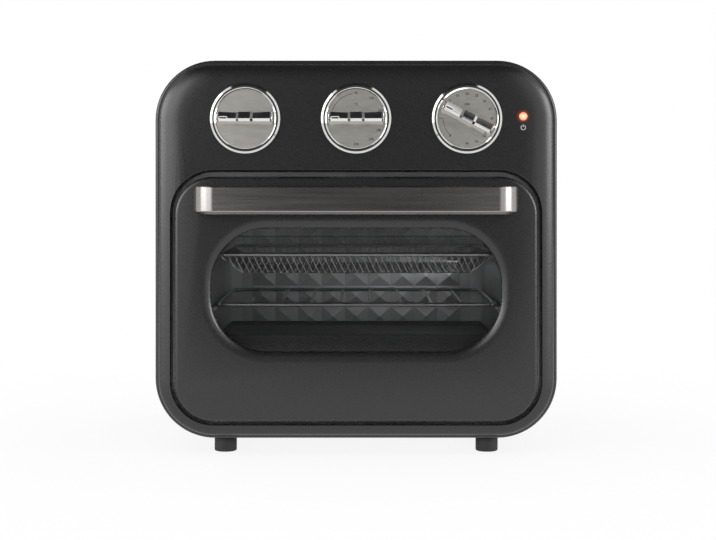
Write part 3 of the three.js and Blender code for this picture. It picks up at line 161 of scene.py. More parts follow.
def several(name, grids, sharp=35):
    """One object from several grids, none of them a loop."""
    return joined(name, [(grid.reshape(-1, 3), grid_faces(grid)) for grid in grids], sharp)


def extruded(outline, axis, ends):
    """Flat points carried straight along an axis: one row of them at each of its two ends."""
    return np.stack([np.insert(outline, axis, end, axis=1) for end in ends])


def box_grid(low, high):
    """A box as a grid of two rows, the lower and the upper rectangle."""
    (x0, y0, z0), (x1, y1, z1) = low, high
    return extruded(np.array([(x0, y0), (x1, y0), (x1, y1), (x0, y1)]), 2, (z0, z1))


def carve(obj, *cutters, sharp=35):
    """The object less its cutters, by an exact Boolean. The cutters are used up."""
    for cutter in cutters:
        cut = obj.modifiers.new("cut", "BOOLEAN")
        cut.operation = "DIFFERENCE"
        cut.solver = "EXACT"
        cut.object = cutter
    graph = bpy.context.evaluated_depsgraph_get()
    mesh = bpy.data.meshes.new_from_object(obj.evaluated_get(graph))
    obj.modifiers.clear()
    obj.data = mesh
    smooth(mesh, sharp)
    for cutter in cutters:
        bpy.data.objects.remove(cutter)


class Shade:
    """One socket of a material's nodes. Arithmetic on it adds Math nodes to the same material."""

    def __init__(self, tree, socket=None):
        self.tree = tree
        self.socket = socket

    def add(self, kind, settings, inputs, output=0):
        """A node of that type, its settings set first and then the values or links of its sockets."""
        node = self.tree.nodes.new(kind)
        for key, value in settings.items():
            setattr(node, key, value)
        for key, value in inputs.items():
            if isinstance(value, Shade):
                self.tree.links.new(value.socket, node.inputs[key])
            else:
                node.inputs[key].default_value = value
        return Shade(self.tree, node.outputs[output])

    def maths(self, operation, first, second):
        """A Math node on two values."""
        return self.add("ShaderNodeMath", {"operation": operation}, {0: first, 1: second})

    def __add__(self, other):
        return self.maths("ADD", self, other)

    def __mul__(self, other):
        return self.maths("MULTIPLY", self, other)

    __radd__ = __add__
    __rmul__ = __mul__


def noise(place, scale, detail=2.0, stretch=(1, 1, 1)):
    """Soft noise from 0 to 1 at a place, finer for a larger scale, drawn out where stretch is small."""
    where = place.add("ShaderNodeMapping", {}, {"Vector": place, "Scale": stretch})
    return place.add("ShaderNodeTexNoise", {}, {"Vector": where, "Scale": scale, "Detail": detail})


mix_share, mix_first, mix_second, mix_result = 0, 6, 7, 2


def between(share, first, second):
    """The colour that is share of the way from first to second."""
    colours = {mix_share: share, mix_first: (*first, 1), mix_second: (*second, 1)}
    return share.add("ShaderNodeMix", {"data_type": "RGBA"}, colours, mix_result)


def bump(height, strength, depth):
    """A normal bent by a height pattern."""
    return height.add("ShaderNodeBump", {}, {"Height": height, "Strength": strength, "Distance": depth})


def finish(name, fixed, varying):
    """A Principled material.

    fixed gives its sockets numbers, and varying(place) gives them patterns on Object coordinates.
    """
    material = bpy.data.materials.new(name)
    material.use_nodes = True
    tree = material.node_tree
    shader = tree.nodes["Principled BSDF"]
    for socket, value in fixed.items():
        shader.inputs[socket].default_value = value
    place = Shade(tree).add("ShaderNodeTexCoord", {}, {}, "Object")
    for socket, pattern in varying(place).items():
        tree.links.new(pattern.socket, shader.inputs[socket])
    return material


def powder(low, high, gloss):
    """Powder coat: fine orange-peel bumps and a faint drift of tone."""

    def pattern(place):
        grain = noise(place, 1400.0)
        drift = noise(place, 9.0)
        return {
            "Base Color": between(drift, low, high),
            "Roughness": gloss + 0.08 * noise(place, 500.0),
            "Normal": bump(grain, 0.04, 0.0003),
        }

    return pattern


def place_piece(obj, material, body, slot, *nodes):
    """The object takes its finish, rides on its body and stands for its CAD nodes."""
    obj.data.materials.clear()
    obj.data.materials.append(material)
    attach(obj, body)
    if nodes:
        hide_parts(*nodes)


charcoal_dark = (0.0085, 0.0088, 0.0085)
charcoal_light = (0.0105, 0.0108, 0.0104)
charcoal_base = {"Metallic": 0.0, "IOR": 1.6}
satin = 0.24
charcoal_paint = finish("charcoal_paint", charcoal_base, powder(charcoal_dark, charcoal_light, satin))
wrap_profile = np.concatenate(
    (
        [(0, wrap_rear)],
        quarter_round(0, wrap_front + rim_round, rim_round, rim_round),
        [(rim_inset, wrap_front), (rim_inset, rim_rear), (sheet, rim_rear), (sheet, wrap_rear)],
    )
)
wrap = surface("outer_wrap_skin", carried(body_outline, wrap_profile), loop=True)
gap_near = (-underside_half, rim_rear, underside_low)
gap_far = (underside_half, wrap_rear + 2 * past, underside_high)
underside = surface("underside_gap", box_grid(gap_near, gap_far))
side_slots = []
for row in range(slot_count):
    slot_y = wrap_rear - slot_first - slot_pitch * row
    outline = rounded(slot_half, slot_low, slot_high, slot_half - hair, 6) + (slot_y, 0)
    side_slots.append(extruded(outline, 0, (-body_half - past, body_half + past)))
carve(wrap, underside, several("side_slots", side_slots))
place_piece(wrap, charcoal_paint, "housing", "charcoal_paint", "outer_wrap")


# Rear cover. A pressed tray of the same painted steel, with two banks of vents, four
# domed screws near its corners and a round hole for the cord's inlet.
screw_rise = 0.0016
cover_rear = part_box("rear_cover")[1][1] - screw_rise
cover_front = cover_rear - 0.012
cover_round = 0.008
cover_wall = 0.002
vent_count = 5
vent_pitch = 0.013
vent_top = body_high - 0.048
vent_x = 0.060
vent_half_long = 0.046
vent_half_high = 0.00225
inlet_x, inlet_z = -0.104, 0.050
inlet_radius = 0.0068
screw_radius = 0.0045
screw_x = 0.135
screw_up = 0.1245


def circle(radius, sides):
    """Points anticlockwise round a circle about (0, 0): radius times (cos a, sin a)."""
    a = np.linspace(0, 2 * np.pi, sides + 1)[:-1]
    return radius * np.stack((np.cos(a), np.sin(a)), axis=1)


def rear_round(inset, rear, radius):
    """A round edge that ends at the rear face: the mirror image of one at the front."""
    return quarter_round(inset, radius - rear, radius, radius) * (1, -1)


cover_outside = np.vstack([(0, cover_front), rear_round(0, cover_rear, cover_round)])
cover_inside = np.vstack([(cover_wall, cover_front - 2 * past), cover_outside + (cover_wall, -cover_wall)])
cover = surface("rear_cover_tray", carried(body_outline, cover_outside))
hollow = surface("cover_hollow", carried(body_outline, cover_inside))
through_cover = (cover_rear - cover_wall - past, cover_rear + past)
vents = []
for row in range(vent_count):
    z = vent_top - vent_pitch * row
    outline = rounded(vent_half_long, z - vent_half_high, z + vent_half_high, vent_half_high - hair, 6)
    for side in (-1, 1):
        vents.append(extruded(outline + (side * vent_x, 0), 1, through_cover))
vents.append(extruded(circle(inlet_radius, 32) + (inlet_x, inlet_z), 1, through_cover))
carve(cover, hollow, several("cover_vents", vents))
place_piece(cover, charcoal_paint, "housing", "charcoal_paint", "rear_cover")


def turned(profile, x, z, turns):
    """A profile of (radius, depth) points turned about the line along Y through (x, z)."""
    a = np.linspace(0, 2 * np.pi, turns + 1)[:-1]
    radius, depth = np.asarray(profile, float).T
    grid = np.empty((len(radius), turns, 3))
    grid[:, :, 0] = x + radius[:, None] * np.cos(a)
    grid[:, :, 1] = depth[:, None]
    grid[:, :, 2] = z + radius[:, None] * np.sin(a)
    return grid


def steel(low, high, roughness, streaks=(1, 1, 1), scale=300.0, depth=0.00005):
    """Bare or plated metal: streaks of tone and gloss, drawn out along one direction."""

    def pattern(place):
        lines = noise(place, scale, 3.0, streaks)
        return {
            "Base Color": between(lines, low, high),
            "Roughness": roughness + 0.12 * lines,
            "Normal": bump(lines, 0.2, depth),
        }

    return pattern


zinc = finish("zinc_sheet", {"Metallic": 1.0}, steel((0.38, 0.39, 0.40), (0.50, 0.51, 0.52), 0.3, scale=60.0))
head = [
    (hair, cover_rear + screw_rise),
    (0.0022, cover_rear + 0.0014),
    (0.0038, cover_rear + 0.0008),
    (screw_radius, cover_rear),
    (screw_radius, cover_rear - 0.001),
    (hair, cover_rear - 0.001),
]
screws = []
for right in (-1, 1):
    for up in (-1, 1):
        screw_z = (body_low + body_high) / 2 + up * screw_up
        screws.append(turned(head, right * screw_x, screw_z, 24))
place_piece(several("rear_cover_screws", screws), zinc, "housing", "zinc_sheet")


# Fascia. One moulding in satin charcoal: a large soft edge all round, a door opening with
# a small round edge, and a skirt that slips into the wrap's rolled rim.
fascia_inset = 0.0035
fascia_rear = face + 0.024
fascia_wall = 0.0026
edge_across = 0.027
edge_along = 0.0085
door_half = 0.1565
door_low = 0.0304
door_high = 0.2413
door_corner = 0.033
door_gap = 0.0041
opening_round = 0.0025
dial_x = (-0.0957, 0.0, 0.0957)
dial_z = 0.2914
stem_hole = 0.0036


def door_outline(inset):
    """The door's front view, drawn in by inset."""
    return rounded(door_half - inset, door_low + inset, door_high - inset, door_corner - inset)


def opening_outline(inset):
    """The fascia's door opening, drawn in by inset."""
    return door_outline(inset - door_gap)


def skin_profile(inset, depth, rear):
    """From the rear forward along the skirt, then round the soft edge to the front."""
    edge = quarter_round(inset, depth + edge_along, edge_across, edge_along, steps=30, power=0.8)
    return np.vstack([(inset, rear), edge])


fascia = surface("fascia_moulding", carried(body_outline, skin_profile(fascia_inset, face, fascia_rear)))
inner_skin = skin_profile(fascia_inset + fascia_wall, face + fascia_wall, fascia_rear + 2 * past)
inside = surface("fascia_hollow", carried(body_outline, inner_skin))
skirt = [(-fascia_wall, face + fascia_wall / 2), (-fascia_wall, fascia_rear + 4 * past)]
carve(inside, surface("opening_skirt", carried(opening_outline, skirt)))
mouth = np.vstack(
    [
        (-opening_round, face - past),
        quarter_round(0, face + opening_round, -opening_round, opening_round, 90, 0, 16),
        (0, fascia_rear + past),
    ]
)
stem_bore = [(stem_hole, face - past), (stem_hole, face + fascia_wall + past)]
stem_holes = several("stem_holes", [turned(stem_bore, x, dial_z, 24) for x in dial_x])
carve(fascia, inside, surface("door_mouth", carried(opening_outline, mouth)), stem_holes, sharp=12)
charcoal_plastic = finish("charcoal_plastic", charcoal_base, powder(charcoal_dark, charcoal_light, satin))
place_piece(fascia, charcoal_plastic, "housing", "charcoal_plastic", "front_fascia")


# Door panel. A moulding in the same satin charcoal with a small round edge, hollow behind,
# whose window edge rolls inwards to the glass. It turns on two pins at its foot.
door_front = face - 0.004
door_rear = face + 0.012
door_wall = 0.0022
door_round = 0.003
window_half = 0.1253
window_low = 0.0896
window_high = 0.1965
window_corner = 0.048
roll_across = 0.0092
roll_along = 0.0036
hinge_x = 0.112
ear_half = 0.00175
ear_low, ear_high = 0.026, 0.0346
collar_rear = face + 0.003


def window_outline(inset):
    """The door window's front view, drawn in by inset."""
    return rounded(window_half - inset, window_low + inset, window_high - inset, window_corner - inset)


panel_edge = quarter_round(0, door_front + door_round, door_round, door_round)
panel = surface("door_moulding", carried(door_outline, np.vstack([(0, door_rear), panel_edge])))
behind = [(door_wall, door_front + door_wall), (door_wall, door_rear + 2 * past)]
back = surface("door_hollow", carried(door_outline, behind))
collar = [(-roll_across - door_wall, door_front), (-roll_across - door_wall, collar_rear)]
carve(back, surface("window_collar", carried(window_outline, collar)))
roll = np.vstack(
    [
        (-roll_across, door_front - past),
        quarter_round(0, door_front + roll_along, -roll_across, roll_along, 90, 0, 24),
        (0, door_rear + past),
    ]
)
ear_slots = []
for side in (-1, 1):
    ear_near = (side * hinge_x - ear_half, door_front + door_wall, ear_low)
    ear_far = (side * hinge_x + ear_half, door_rear + 2 * past, ear_high)
    ear_slots.append(box_grid(ear_near, ear_far))
carve(panel, back, surface("window_roll", carried(window_outline, roll)), several("ear_slots", ear_slots))
place_piece(panel, charcoal_plastic, "door", "charcoal_plastic", "door_panel")


# Door glass and inner frame. A pane of tempered glass lies against the window's collar,
# and a painted steel frame screwed to the door's posts clamps it from behind.
frame_front = face + 0.0076
frame_rear = face + 0.016
frame_inset = 0.012
frame_sheet = 0.001
frame_round = 0.002
frame_lip = 0.003
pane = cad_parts["door_glass"]


def speckled(low, high, roughness, spread, scale):
    """Soft speckles of tone between two colours, with a roughness of roughness + spread * noise."""

    def pattern(place):
        speckle = noise(place, scale)
        return {"Base Color": between(speckle, low, high), "Roughness": roughness + spread * speckle}

    return pattern


def window_prism(name, grown):
    """A straight cutter through the inner frame, a little larger than the window all round."""
    straight = [(-grown, frame_front - 2 * past), (-grown, frame_rear + 2 * past)]
    return surface(name, carried(window_outline, straight))


faint_tint = speckled((0.02, 0.021, 0.022), (0.028, 0.029, 0.030), 0.02, 0.03, 6.0)
tempered_glass = finish("tempered_glass", {"Alpha": 0.2, "IOR": 1.45}, faint_tint)
pane.data.materials.clear()
pane.data.materials.append(tempered_glass)
frame_profile = np.vstack([(frame_inset, frame_front), rear_round(frame_inset, frame_rear, frame_round)])
inner = surface("door_back_frame", carried(door_outline, frame_profile))
pocket_inset = frame_inset + frame_sheet
pocket_profile = [(pocket_inset, frame_front - past), (pocket_inset, frame_rear - frame_sheet)]
pocket = surface("frame_pocket", carried(door_outline, pocket_profile))
carve(pocket, window_prism("frame_collar", frame_lip + frame_sheet))
carve(inner, pocket, window_prism("frame_throat", frame_lip))
place_piece(inner, charcoal_paint, "door", "charcoal_paint", "door_inner_frame")


# Door handle. A strap of dark brushed steel, bent back to the door in a wide bend at each
# end, with chamfered long edges. Screws through the door hold its turned-in feet.
strap_half = 0.139
strap_low = 0.209
strap_high = 0.233
strap_thick = 0.003
strap_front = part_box("door_handle")[0][1]
foot_gap = 0.0003
foot_long = 0.013
foot_y = door_front - foot_gap - strap_thick / 2
big_bend = 0.016
small_bend = 0.0022
under_bevel = 0.0030
top_chamfer = 0.0012
chamfer_run = 0.0008
edge_soft = 0.0002
back_edge = 0.0003


def bend(x, y, radius, start, stop, steps=14):
    """Plan points on an arc about (x, y)."""
    t = np.radians(np.linspace(start, stop, steps))
    return np.stack((x + radius * np.cos(t), y + radius * np.sin(t)), axis=1)


def swept(path, along, section):
    """A section of (out, up) points carried along a level path (x, y, z).

    Each row is a point of the path plus out times the sideways direction, and up times the upright one.
    """
    along = along / np.linalg.norm(along, axis=1, keepdims=True)
    outward = np.stack((along[:, 1], -along[:, 0]), axis=1)
    grid = np.empty((len(path), len(section), 3))
    grid[:, :, :2] = path[:, None, :2] + outward[:, None] * section[None, :, :1]
    grid[:, :, 2] = path[:, 2:] + section[:, 1]
    return grid


leg_x = strap_half - strap_thick / 2
right_half = np.concatenate(
    (
        bend(leg_x - big_bend, strap_front + strap_thick / 2 + big_bend, big_bend, 270, 360),
        bend(leg_x - small_bend, foot_y - small_bend, small_bend, 0, 90, 6),
        [(strap_half - foot_long, foot_y)],
    )
)
plan = np.concatenate((right_half[::-1] * (-1, 1), right_half))
half_thick = strap_thick / 2
half_high = (strap_high - strap_low) / 2
section = np.array(
    [
        (half_thick, under_bevel - half_high),
        (half_thick, half_high - top_chamfer),
        (half_thick - edge_soft, half_high - top_chamfer / 2),
        (half_thick - chamfer_run, half_high),
        (back_edge - half_thick, half_high),
        (-half_thick, half_high - back_edge),
        (-half_thick, back_edge - half_high),
        (back_edge - half_thick, -half_high),
        (half_thick - edge_soft, under_bevel - chamfer_run - half_high),
    ]
)
strap_path = np.insert(plan, 2, (strap_low + strap_high) / 2, axis=1)
strap = surface("door_handle_strap", swept(strap_path, np.gradient(plan, axis=0), section), sharp=12)
brushed_dark = finish(
    "brushed_dark",
    {"Metallic": 1.0},
    steel((0.30, 0.287, 0.278), (0.35, 0.335, 0.325), 0.15, (0.02, 1, 1), 700.0, 0.000012),
)
place_piece(strap, brushed_dark, "door", "dark_brushed", "door_handle")


# Dials. A chrome ring, with two beads and a line of black lacquer between them, clips into
# the fascia round a brushed metal plate. The scales are printed on two of the plates.
plate_front = face - 0.0015
plate_rear = face - 0.0003
plate_bore = 0.0033
plate_radius = 0.0275
plate_edge = 0.0002
dial_names = ("function", "temperature", "timer")
ring_top = plate_rear - 0.0032
ring_chamfer = 0.0005
ring_lip = 0.00068
ring_step = 0.00022
ring_inner = 0.0256
ring_waist = 0.0263
ring_outer = 0.0302
crest_inner = 0.0269
crest_outer = 0.0285
ring_clear = 0.0001
groove_floor = ring_top + 0.0005
lacquer_thick = 0.0002
lacquer_sunk = 0.0001
ring_profile = [
    (ring_inner, plate_front - ring_clear),
    (ring_inner, ring_top + ring_lip),
    (ring_waist, ring_top + ring_step),
    (crest_inner, ring_top),
    (crest_inner, groove_floor),
    (crest_outer, groove_floor),
    (crest_outer, ring_top),
    (ring_outer, ring_top + ring_chamfer),
    (ring_outer, plate_rear),
]
groove_profile = [
    (crest_inner, groove_floor + lacquer_sunk),
    (crest_inner, groove_floor - lacquer_thick),
    (crest_outer, groove_floor - lacquer_thick),
    (crest_outer, groove_floor + lacquer_sunk),
]
plate_profile = [
    (plate_bore, plate_rear),
    (plate_radius, plate_rear),
    (plate_radius, plate_front + plate_edge),
    (plate_radius - plate_edge, plate_front),
    (plate_bore, plate_front),
]


def brushed_plate(place):
    """Fine streaks from left to right, in a soft warm tone."""
    lines = noise(place, 700.0, 2.0, (0.25, 1, 1))
    return {
        "Base Color": between(lines, (0.54, 0.522, 0.48), (0.64, 0.62, 0.575)),
        "Roughness": 0.30 + 0.1 * lines,
        "Normal": bump(lines, 0.1, 0.00003),
    }


polished = speckled((0.66, 0.66, 0.65), (0.72, 0.72, 0.71), 0.05, 0.05, 120.0)
lacquered = speckled((0.008, 0.008, 0.008), (0.014, 0.014, 0.014), 0.5, 0.1, 500.0)
chrome = finish("chrome", {"Metallic": 1.0}, polished)
lacquer = finish("black_lacquer", {"Metallic": 0.0}, lacquered)
dial_metal = finish("dial_metal", {"Metallic": 1.0}, brushed_plate)
for name, x in zip(dial_names, dial_x):
    ring = surface(f"{name}_ring", turned(ring_profile, x, dial_z, 96), loop=True, sharp=12)
    place_piece(ring, chrome, "housing", "chrome", f"{name}_dial_ring")
    groove = surface(f"{name}_ring_groove", turned(groove_profile, x, dial_z, 96), loop=True, sharp=12)
    place_piece(groove, lacquer, "housing", "black_plastic")
    plate = surface(f"{name}_plate", turned(plate_profile, x, dial_z, 96), loop=True)
    place_piece(plate, dial_metal, "housing", "dial_metal", f"{name}_dial_plate")


ink_depth = 0.00006
ink_sunk = 0.0001
ink_swell = 0.00006
capital_share = 0.7


def printed(words, x, z, height):
    """Characters as thin raised ink on a dial, centred on (x, z): (points, faces)."""
    curve = bpy.data.curves.new("ink", "FONT")
    curve.body = words
    curve.size = height / capital_share
    curve.align_x = "CENTER"
    curve.align_y = "CENTER"
    curve.resolution_u = 3
    curve.extrude = ink_depth / 2
    curve.offset = ink_swell
    text = bpy.data.objects.new("ink", curve)
    bpy.context.scene.collection.objects.link(text)
    graph = bpy.context.evaluated_depsgraph_get()
    mesh = bpy.data.meshes.new_from_object(text.evaluated_get(graph))
    points = np.empty(3 * len(mesh.vertices))
    mesh.vertices.foreach_get("co", points)
    flat = points.reshape(-1, 3)
    flat -= (flat.min(axis=0) + flat.max(axis=0)) / 2
    faces = [list(polygon.vertices) for polygon in mesh.polygons]
    bpy.data.objects.remove(text)
    placed = np.stack((x + flat[:, 0], plate_front - ink_depth / 2 - flat[:, 2], z + flat[:, 1]), axis=1)
    return placed, faces


def printed_arc(x, z, radius, start, stop, width):
    """A thin band of ink on an arc from start to stop, in clock degrees from twelve: (points, faces)."""
    clock = np.radians(np.linspace(start, stop, 40))
    way = np.stack((np.sin(clock), np.cos(clock)), axis=1)
    outer = (radius + width / 2) * way + (x, z)
    inner_edge = (radius - width / 2) * way + (x, z)
    corners = [
        np.insert(outer, 1, plate_front - ink_depth, axis=1),
        np.insert(outer, 1, plate_front, axis=1),
        np.insert(inner_edge, 1, plate_front, axis=1),
        np.insert(inner_edge, 1, plate_front - ink_depth, axis=1),
    ]
    grid = np.stack(corners, axis=1)
    return grid.reshape(-1, 3), grid_faces(grid)


def on_dial(x, radius, clock):
    """The place on a dial at a radius and so many clock degrees from twelve."""
    return x + radius * np.sin(np.radians(clock)), dial_z + radius * np.cos(np.radians(clock))


ink_tone = speckled((0.022, 0.018, 0.015), (0.034, 0.028, 0.024), 0.5, 0.1, 800.0)
ink = finish("dial_ink", {"Metallic": 0.0}, ink_tone)
numeral = 0.0021
fine_line = 0.0004
temperatures = {0: "90", 37: "120", 72: "150", 117: "180", 144: "200", 180: "230"}
temperature_radius = 0.0221
degree_up, minute_up = 0.0124, 0.0125
heat_arc = (0.0216, -75, -8, fine_line)
temperature_ink = [printed("°C", dial_x[1], dial_z + degree_up, numeral)]
for clock, words in temperatures.items():
    temperature_ink.append(printed(words, *on_dial(dial_x[1], temperature_radius, clock), numeral))
temperature_ink.append(printed_arc(dial_x[1], dial_z, *heat_arc))
place_piece(joined("temperature_marks", temperature_ink), ink, "housing", "black_plastic")
minute_radius = 0.0214
minute_turn = 4.5
off_clock = -90
stay_on_arc = (0.0205, -134, -93, fine_line)
stay_on_mark = (0.0208, -137, -134, 0.0018)
off_mark = (0.0222, off_clock - 0.6, off_clock + 0.6, 0.0036)
timer_ink = [printed("min", dial_x[2], dial_z + minute_up, numeral)]
for minutes in range(5, 65, 5):
    place = on_dial(dial_x[2], minute_radius, minute_turn * minutes + off_clock)
    timer_ink.append(printed(str(minutes), *place, numeral))
for arc in (stay_on_arc, stay_on_mark, off_mark):
    timer_ink.append(printed_arc(dial_x[2], dial_z, *arc))
place_piece(joined("timer_marks", timer_ink), ink, "housing", "black_plastic")


# Knobs. Each grip is one chromed casting: a bar with a ridge along it, an upper face, a
# narrow lower bevel and a steep lower flank, deeper at its ends. A hub stands proud of it
# between two chamfers, and a pointer is inlaid at one end. A stem joins it to its switch.
grip_half = 0.0238
grip_base = plate_front - 0.0003
grip_front = 0.0154
hub_rise = 0.0022
hub_half = 0.0050
hub_swell = 0.0006
ridge_drop = 0.0004
ridge_round = 0.0001
bevel = 0.0025
waist_high = 0.0047
end_high = 0.0054
end_rise = 0.0012
end_chamfer = 0.0018
pointer_reach = 0.0181
pointer_thick = 0.0012
pointer_climb = 0.75 * end_rise
pointer_border = (0.0038, 0.0013, 0.0002)
pointer_inlay = (0.0032, 0.0007, 0.00025)
stem_radius = 0.003
stem_front = grip_base - 0.001
stem_rear = face + 0.032


def grip_section(reach, half_high, front):
    """Points (x, y, z) round the bar at one place: its base, upper face, ridge, and the bevel under that."""
    corners = [
        (0, -half_high),
        (0, half_high),
        (front - half_high - ridge_drop, half_high),
        (front - ridge_round, ridge_round - ridge_drop),
        (front - ridge_round, -ridge_round - ridge_drop),
        (front - bevel, -ridge_drop - bevel),
    ]
    return np.array([(reach, grip_base - out, z) for out, z in corners])


def swung(angle, across, up, x, z):
    """Offsets (across, up) from (x, z), turned by angle, clockwise seen from the front."""
    c, s = np.cos(angle), np.sin(angle)
    return x + c * across + s * up, z - s * across + c * up


def grip_grid(angle, x, z):
    """The whole bar as rows of sections from its middle to its end, mirrored, and turned about its stem."""
    hub_front = grip_front + hub_rise
    end_front = grip_front + end_rise
    rows = [
        grip_section(0.0, waist_high + hub_swell, hub_front),
        grip_section(hub_half, waist_high + hub_swell, hub_front),
        grip_section(hub_half + hub_rise, waist_high, grip_front),
        grip_section(grip_half - end_chamfer, end_high, end_front),
        grip_section(grip_half - end_chamfer / 3, end_high - 0.0002, end_front - 0.0014),
        grip_section(grip_half, end_high - 0.0016, end_front - 0.004),
    ]
    half = np.stack(rows)
    grid = np.concatenate((half[:0:-1] * (-1, 1, 1), half))
    turned_x, turned_z = swung(angle, grid[:, :, 0], grid[:, :, 2], x, z)
    return np.stack((turned_x, grid[:, :, 1], turned_z), axis=2)


def pointer_plate(angle, x, z, half_long, half_high, proud):
    """A thin bar with round ends over the crest at the grip's left end, turned with the grip."""
    corners = rounded(half_long, -half_high, half_high, half_high - hair, 8) + (-pointer_reach, 0)
    spots = np.stack(swung(angle, corners[:, 0], corners[:, 1], x, z), axis=1)
    front = grip_base - grip_front - pointer_climb - proud
    return extruded(spots, 1, (front, front + pointer_thick))


white_tone = speckled((0.72, 0.72, 0.71), (0.80, 0.80, 0.79), 0.4, 0.1, 300.0)
white_paint = finish("pointer_white", {"Metallic": 0.0}, white_tone)
nickel = steel((0.78, 0.775, 0.76), (0.86, 0.855, 0.84), 0.02, scale=80.0, depth=0.000002)
black_nickel = finish("black_nickel", {"Metallic": 1.0}, nickel)
stem_profile = [(hair, stem_front), (stem_radius, stem_front), (stem_radius, stem_rear), (hair, stem_rear)]
timer_rest = 27.6
rest_turn = (0.0, 0.0, np.radians(timer_rest))
for name, x, angle in zip(dial_names, dial_x, rest_turn):
    stem = turned(stem_profile, x, dial_z, 24)
    grip = several(f"{name}_grip", [grip_grid(angle, x, dial_z), stem], sharp=20)
    place_piece(grip, black_nickel, f"{name}_knob", "dark_brushed", f"{name}_knob")
    border = surface(f"{name}_pointer_border", pointer_plate(angle, x, dial_z, *pointer_border))
    place_piece(border, white_paint, f"{name}_knob", "chrome")
    inlay = surface(f"{name}_pointer", pointer_plate(angle, x, dial_z, *pointer_inlay))
    place_piece(inlay, ink, f"{name}_knob", "black_plastic")


# Indicator lamp. A domed amber lens on a short barrel, pressed into the fascia. Its red glow on
# the plastic round it is painted on a thin ring as emission, and a plain power symbol is printed under it.
lamp_x, lamp_z = 0.1443, 0.2933
lens_rear = face + 0.006
flange_radius = 0.0062
lens_profile = [
    (hair, face - 0.0016),
    (0.0016, face - 0.0015),
    (0.0029, face - 0.0010),
    (0.0036, face - 0.0004),
    (0.0036, face - 0.0002),
    (0.0029, face - 0.0002),
    (0.0029, lens_rear),
    (hair, lens_rear),
]
flange_profile = [
    (0.0032, face + 0.0001),
    (0.0032, face - 0.00005),
    (flange_radius, face - 0.00001),
    (flange_radius, face + 0.0001),
]


def from_lamp(place, near, far):
    """0 at the lamp's centre line up to the radius near, rising to 1 at the radius far."""
    offset = place.add("ShaderNodeVectorMath", {"operation": "SUBTRACT"}, {0: place, 1: (lamp_x, 0, lamp_z)})
    level = place.add("ShaderNodeVectorMath", {"operation": "MULTIPLY"}, {0: offset, 1: (1, 0, 1)})
    radius = place.add("ShaderNodeVectorMath", {"operation": "LENGTH"}, {0: level}, "Value")
    return place.add("ShaderNodeMapRange", {}, {"Value": radius, "From Min": near, "From Max": far})


def amber_glow(place):
    """Pale orange in the middle of the lens and deep red at its rim."""
    outwards = from_lamp(place, 0.0008, 0.0038)
    return {
        "Base Color": between(outwards, (0.9, 0.3, 0.1), (0.6, 0.08, 0.02)),
        "Emission Color": between(outwards, (1.0, 0.66, 0.44), (0.62, 0.13, 0.07)),
        "Roughness": 0.15 + 0.1 * noise(place, 300.0),
    }


def red_halo(place):
    """Painted glow of the lens on the plastic round it: a red emission and reddened colour, fading outwards
    to charcoal.
    """
    outwards = from_lamp(place, 0.0034, flange_radius)
    return {
        "Base Color": between(outwards, (0.05, 0.009, 0.008), (0.0095, 0.0098, 0.0095)),
        "Emission Color": between(outwards, (0.15, 0.018, 0.013), (0.0, 0.0, 0.0)),
        "Roughness": satin + 0.08 * noise(place, 500.0),
    }


amber = finish("amber_lens", {"Metallic": 0.0, "Emission Strength": 1.0}, amber_glow)
lens = surface("lamp_dome", turned(lens_profile, lamp_x, lamp_z, 40), sharp=40)
place_piece(lens, amber, "housing", "amber", "lamp_lens")
# The thin ring round the lens carries the lens's red glow, painted on as emission and colour.
painted_glow_base = {**charcoal_base, "Emission Strength": 1.0}
flange = surface("lamp_flange_painted_glow", turned(flange_profile, lamp_x, lamp_z, 40), loop=True)
place_piece(flange, finish("lamp_flange_painted_glow", painted_glow_base, red_halo), "housing", "charcoal_plastic")
symbol_z = lamp_z - 0.0096
symbol_radius = 0.0020
stroke_half = 0.0003
stroke_top = 0.0026
symbol_gap = 35
stroke_near = (lamp_x - stroke_half, face - ink_depth, symbol_z + stroke_half)
stroke_far = (lamp_x + stroke_half, face + ink_sunk, symbol_z + stroke_top)
stroke = box_grid(stroke_near, stroke_far)
stroke_ink = (stroke.reshape(-1, 3), grid_faces(stroke))
arc_points, arc_faces = printed_arc(
    lamp_x, symbol_z, symbol_radius, symbol_gap, 360 - symbol_gap, 2 * stroke_half
)
arc_ink = (arc_points + (0, face - plate_front, 0), arc_faces)
pale_print = speckled((0.46, 0.48, 0.48), (0.54, 0.56, 0.56), 0.45, 0.1, 400.0)
pale_ink = finish("pale_print", {"Metallic": 0.0}, pale_print)
place_piece(joined("power_symbol", [stroke_ink, arc_ink]), pale_ink, "housing", "black_plastic")


# Feet. Black rubber pucks with a small round edge, each on a stud that goes through the
# base plate.
feet = ("foot_front_left", "foot_front_right", "foot_rear_left", "foot_rear_right")
foot_radius = 0.0098
foot_top = 0.0132
stud_radius = 0.0025
stud_top = 0.019
foot_profile = [
    (hair, 0.0),
    (foot_radius - 0.0014, 0.0),
    (foot_radius - 0.0004, 0.0004),
    (foot_radius, 0.0014),
    (foot_radius, foot_top - 0.0006),
    (foot_radius - 0.0004, foot_top),
    (stud_radius, foot_top),
    (stud_radius, stud_top),
    (hair, stud_top),
]


def rubber_grain(place):
    """Matt black with a fine grain."""
    grain = noise(place, 900.0)
    return {
        "Base Color": between(grain, (0.012, 0.012, 0.013), (0.02, 0.02, 0.021)),
        "Roughness": 0.55 + 0.2 * grain,
        "Normal": bump(grain, 0.2, 0.0002),
    }


rubber = finish("rubber", {"Metallic": 0.0}, rubber_grain)
for name in feet:
    x, y, _ = np.mean(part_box(name), axis=0)
    upright = turned(foot_profile, x, 0, 40)[:, :, (0, 2, 1)] + (0, y, 0)
    place_piece(surface(f"{name}_pad", upright), rubber, "housing", "rubber", name)


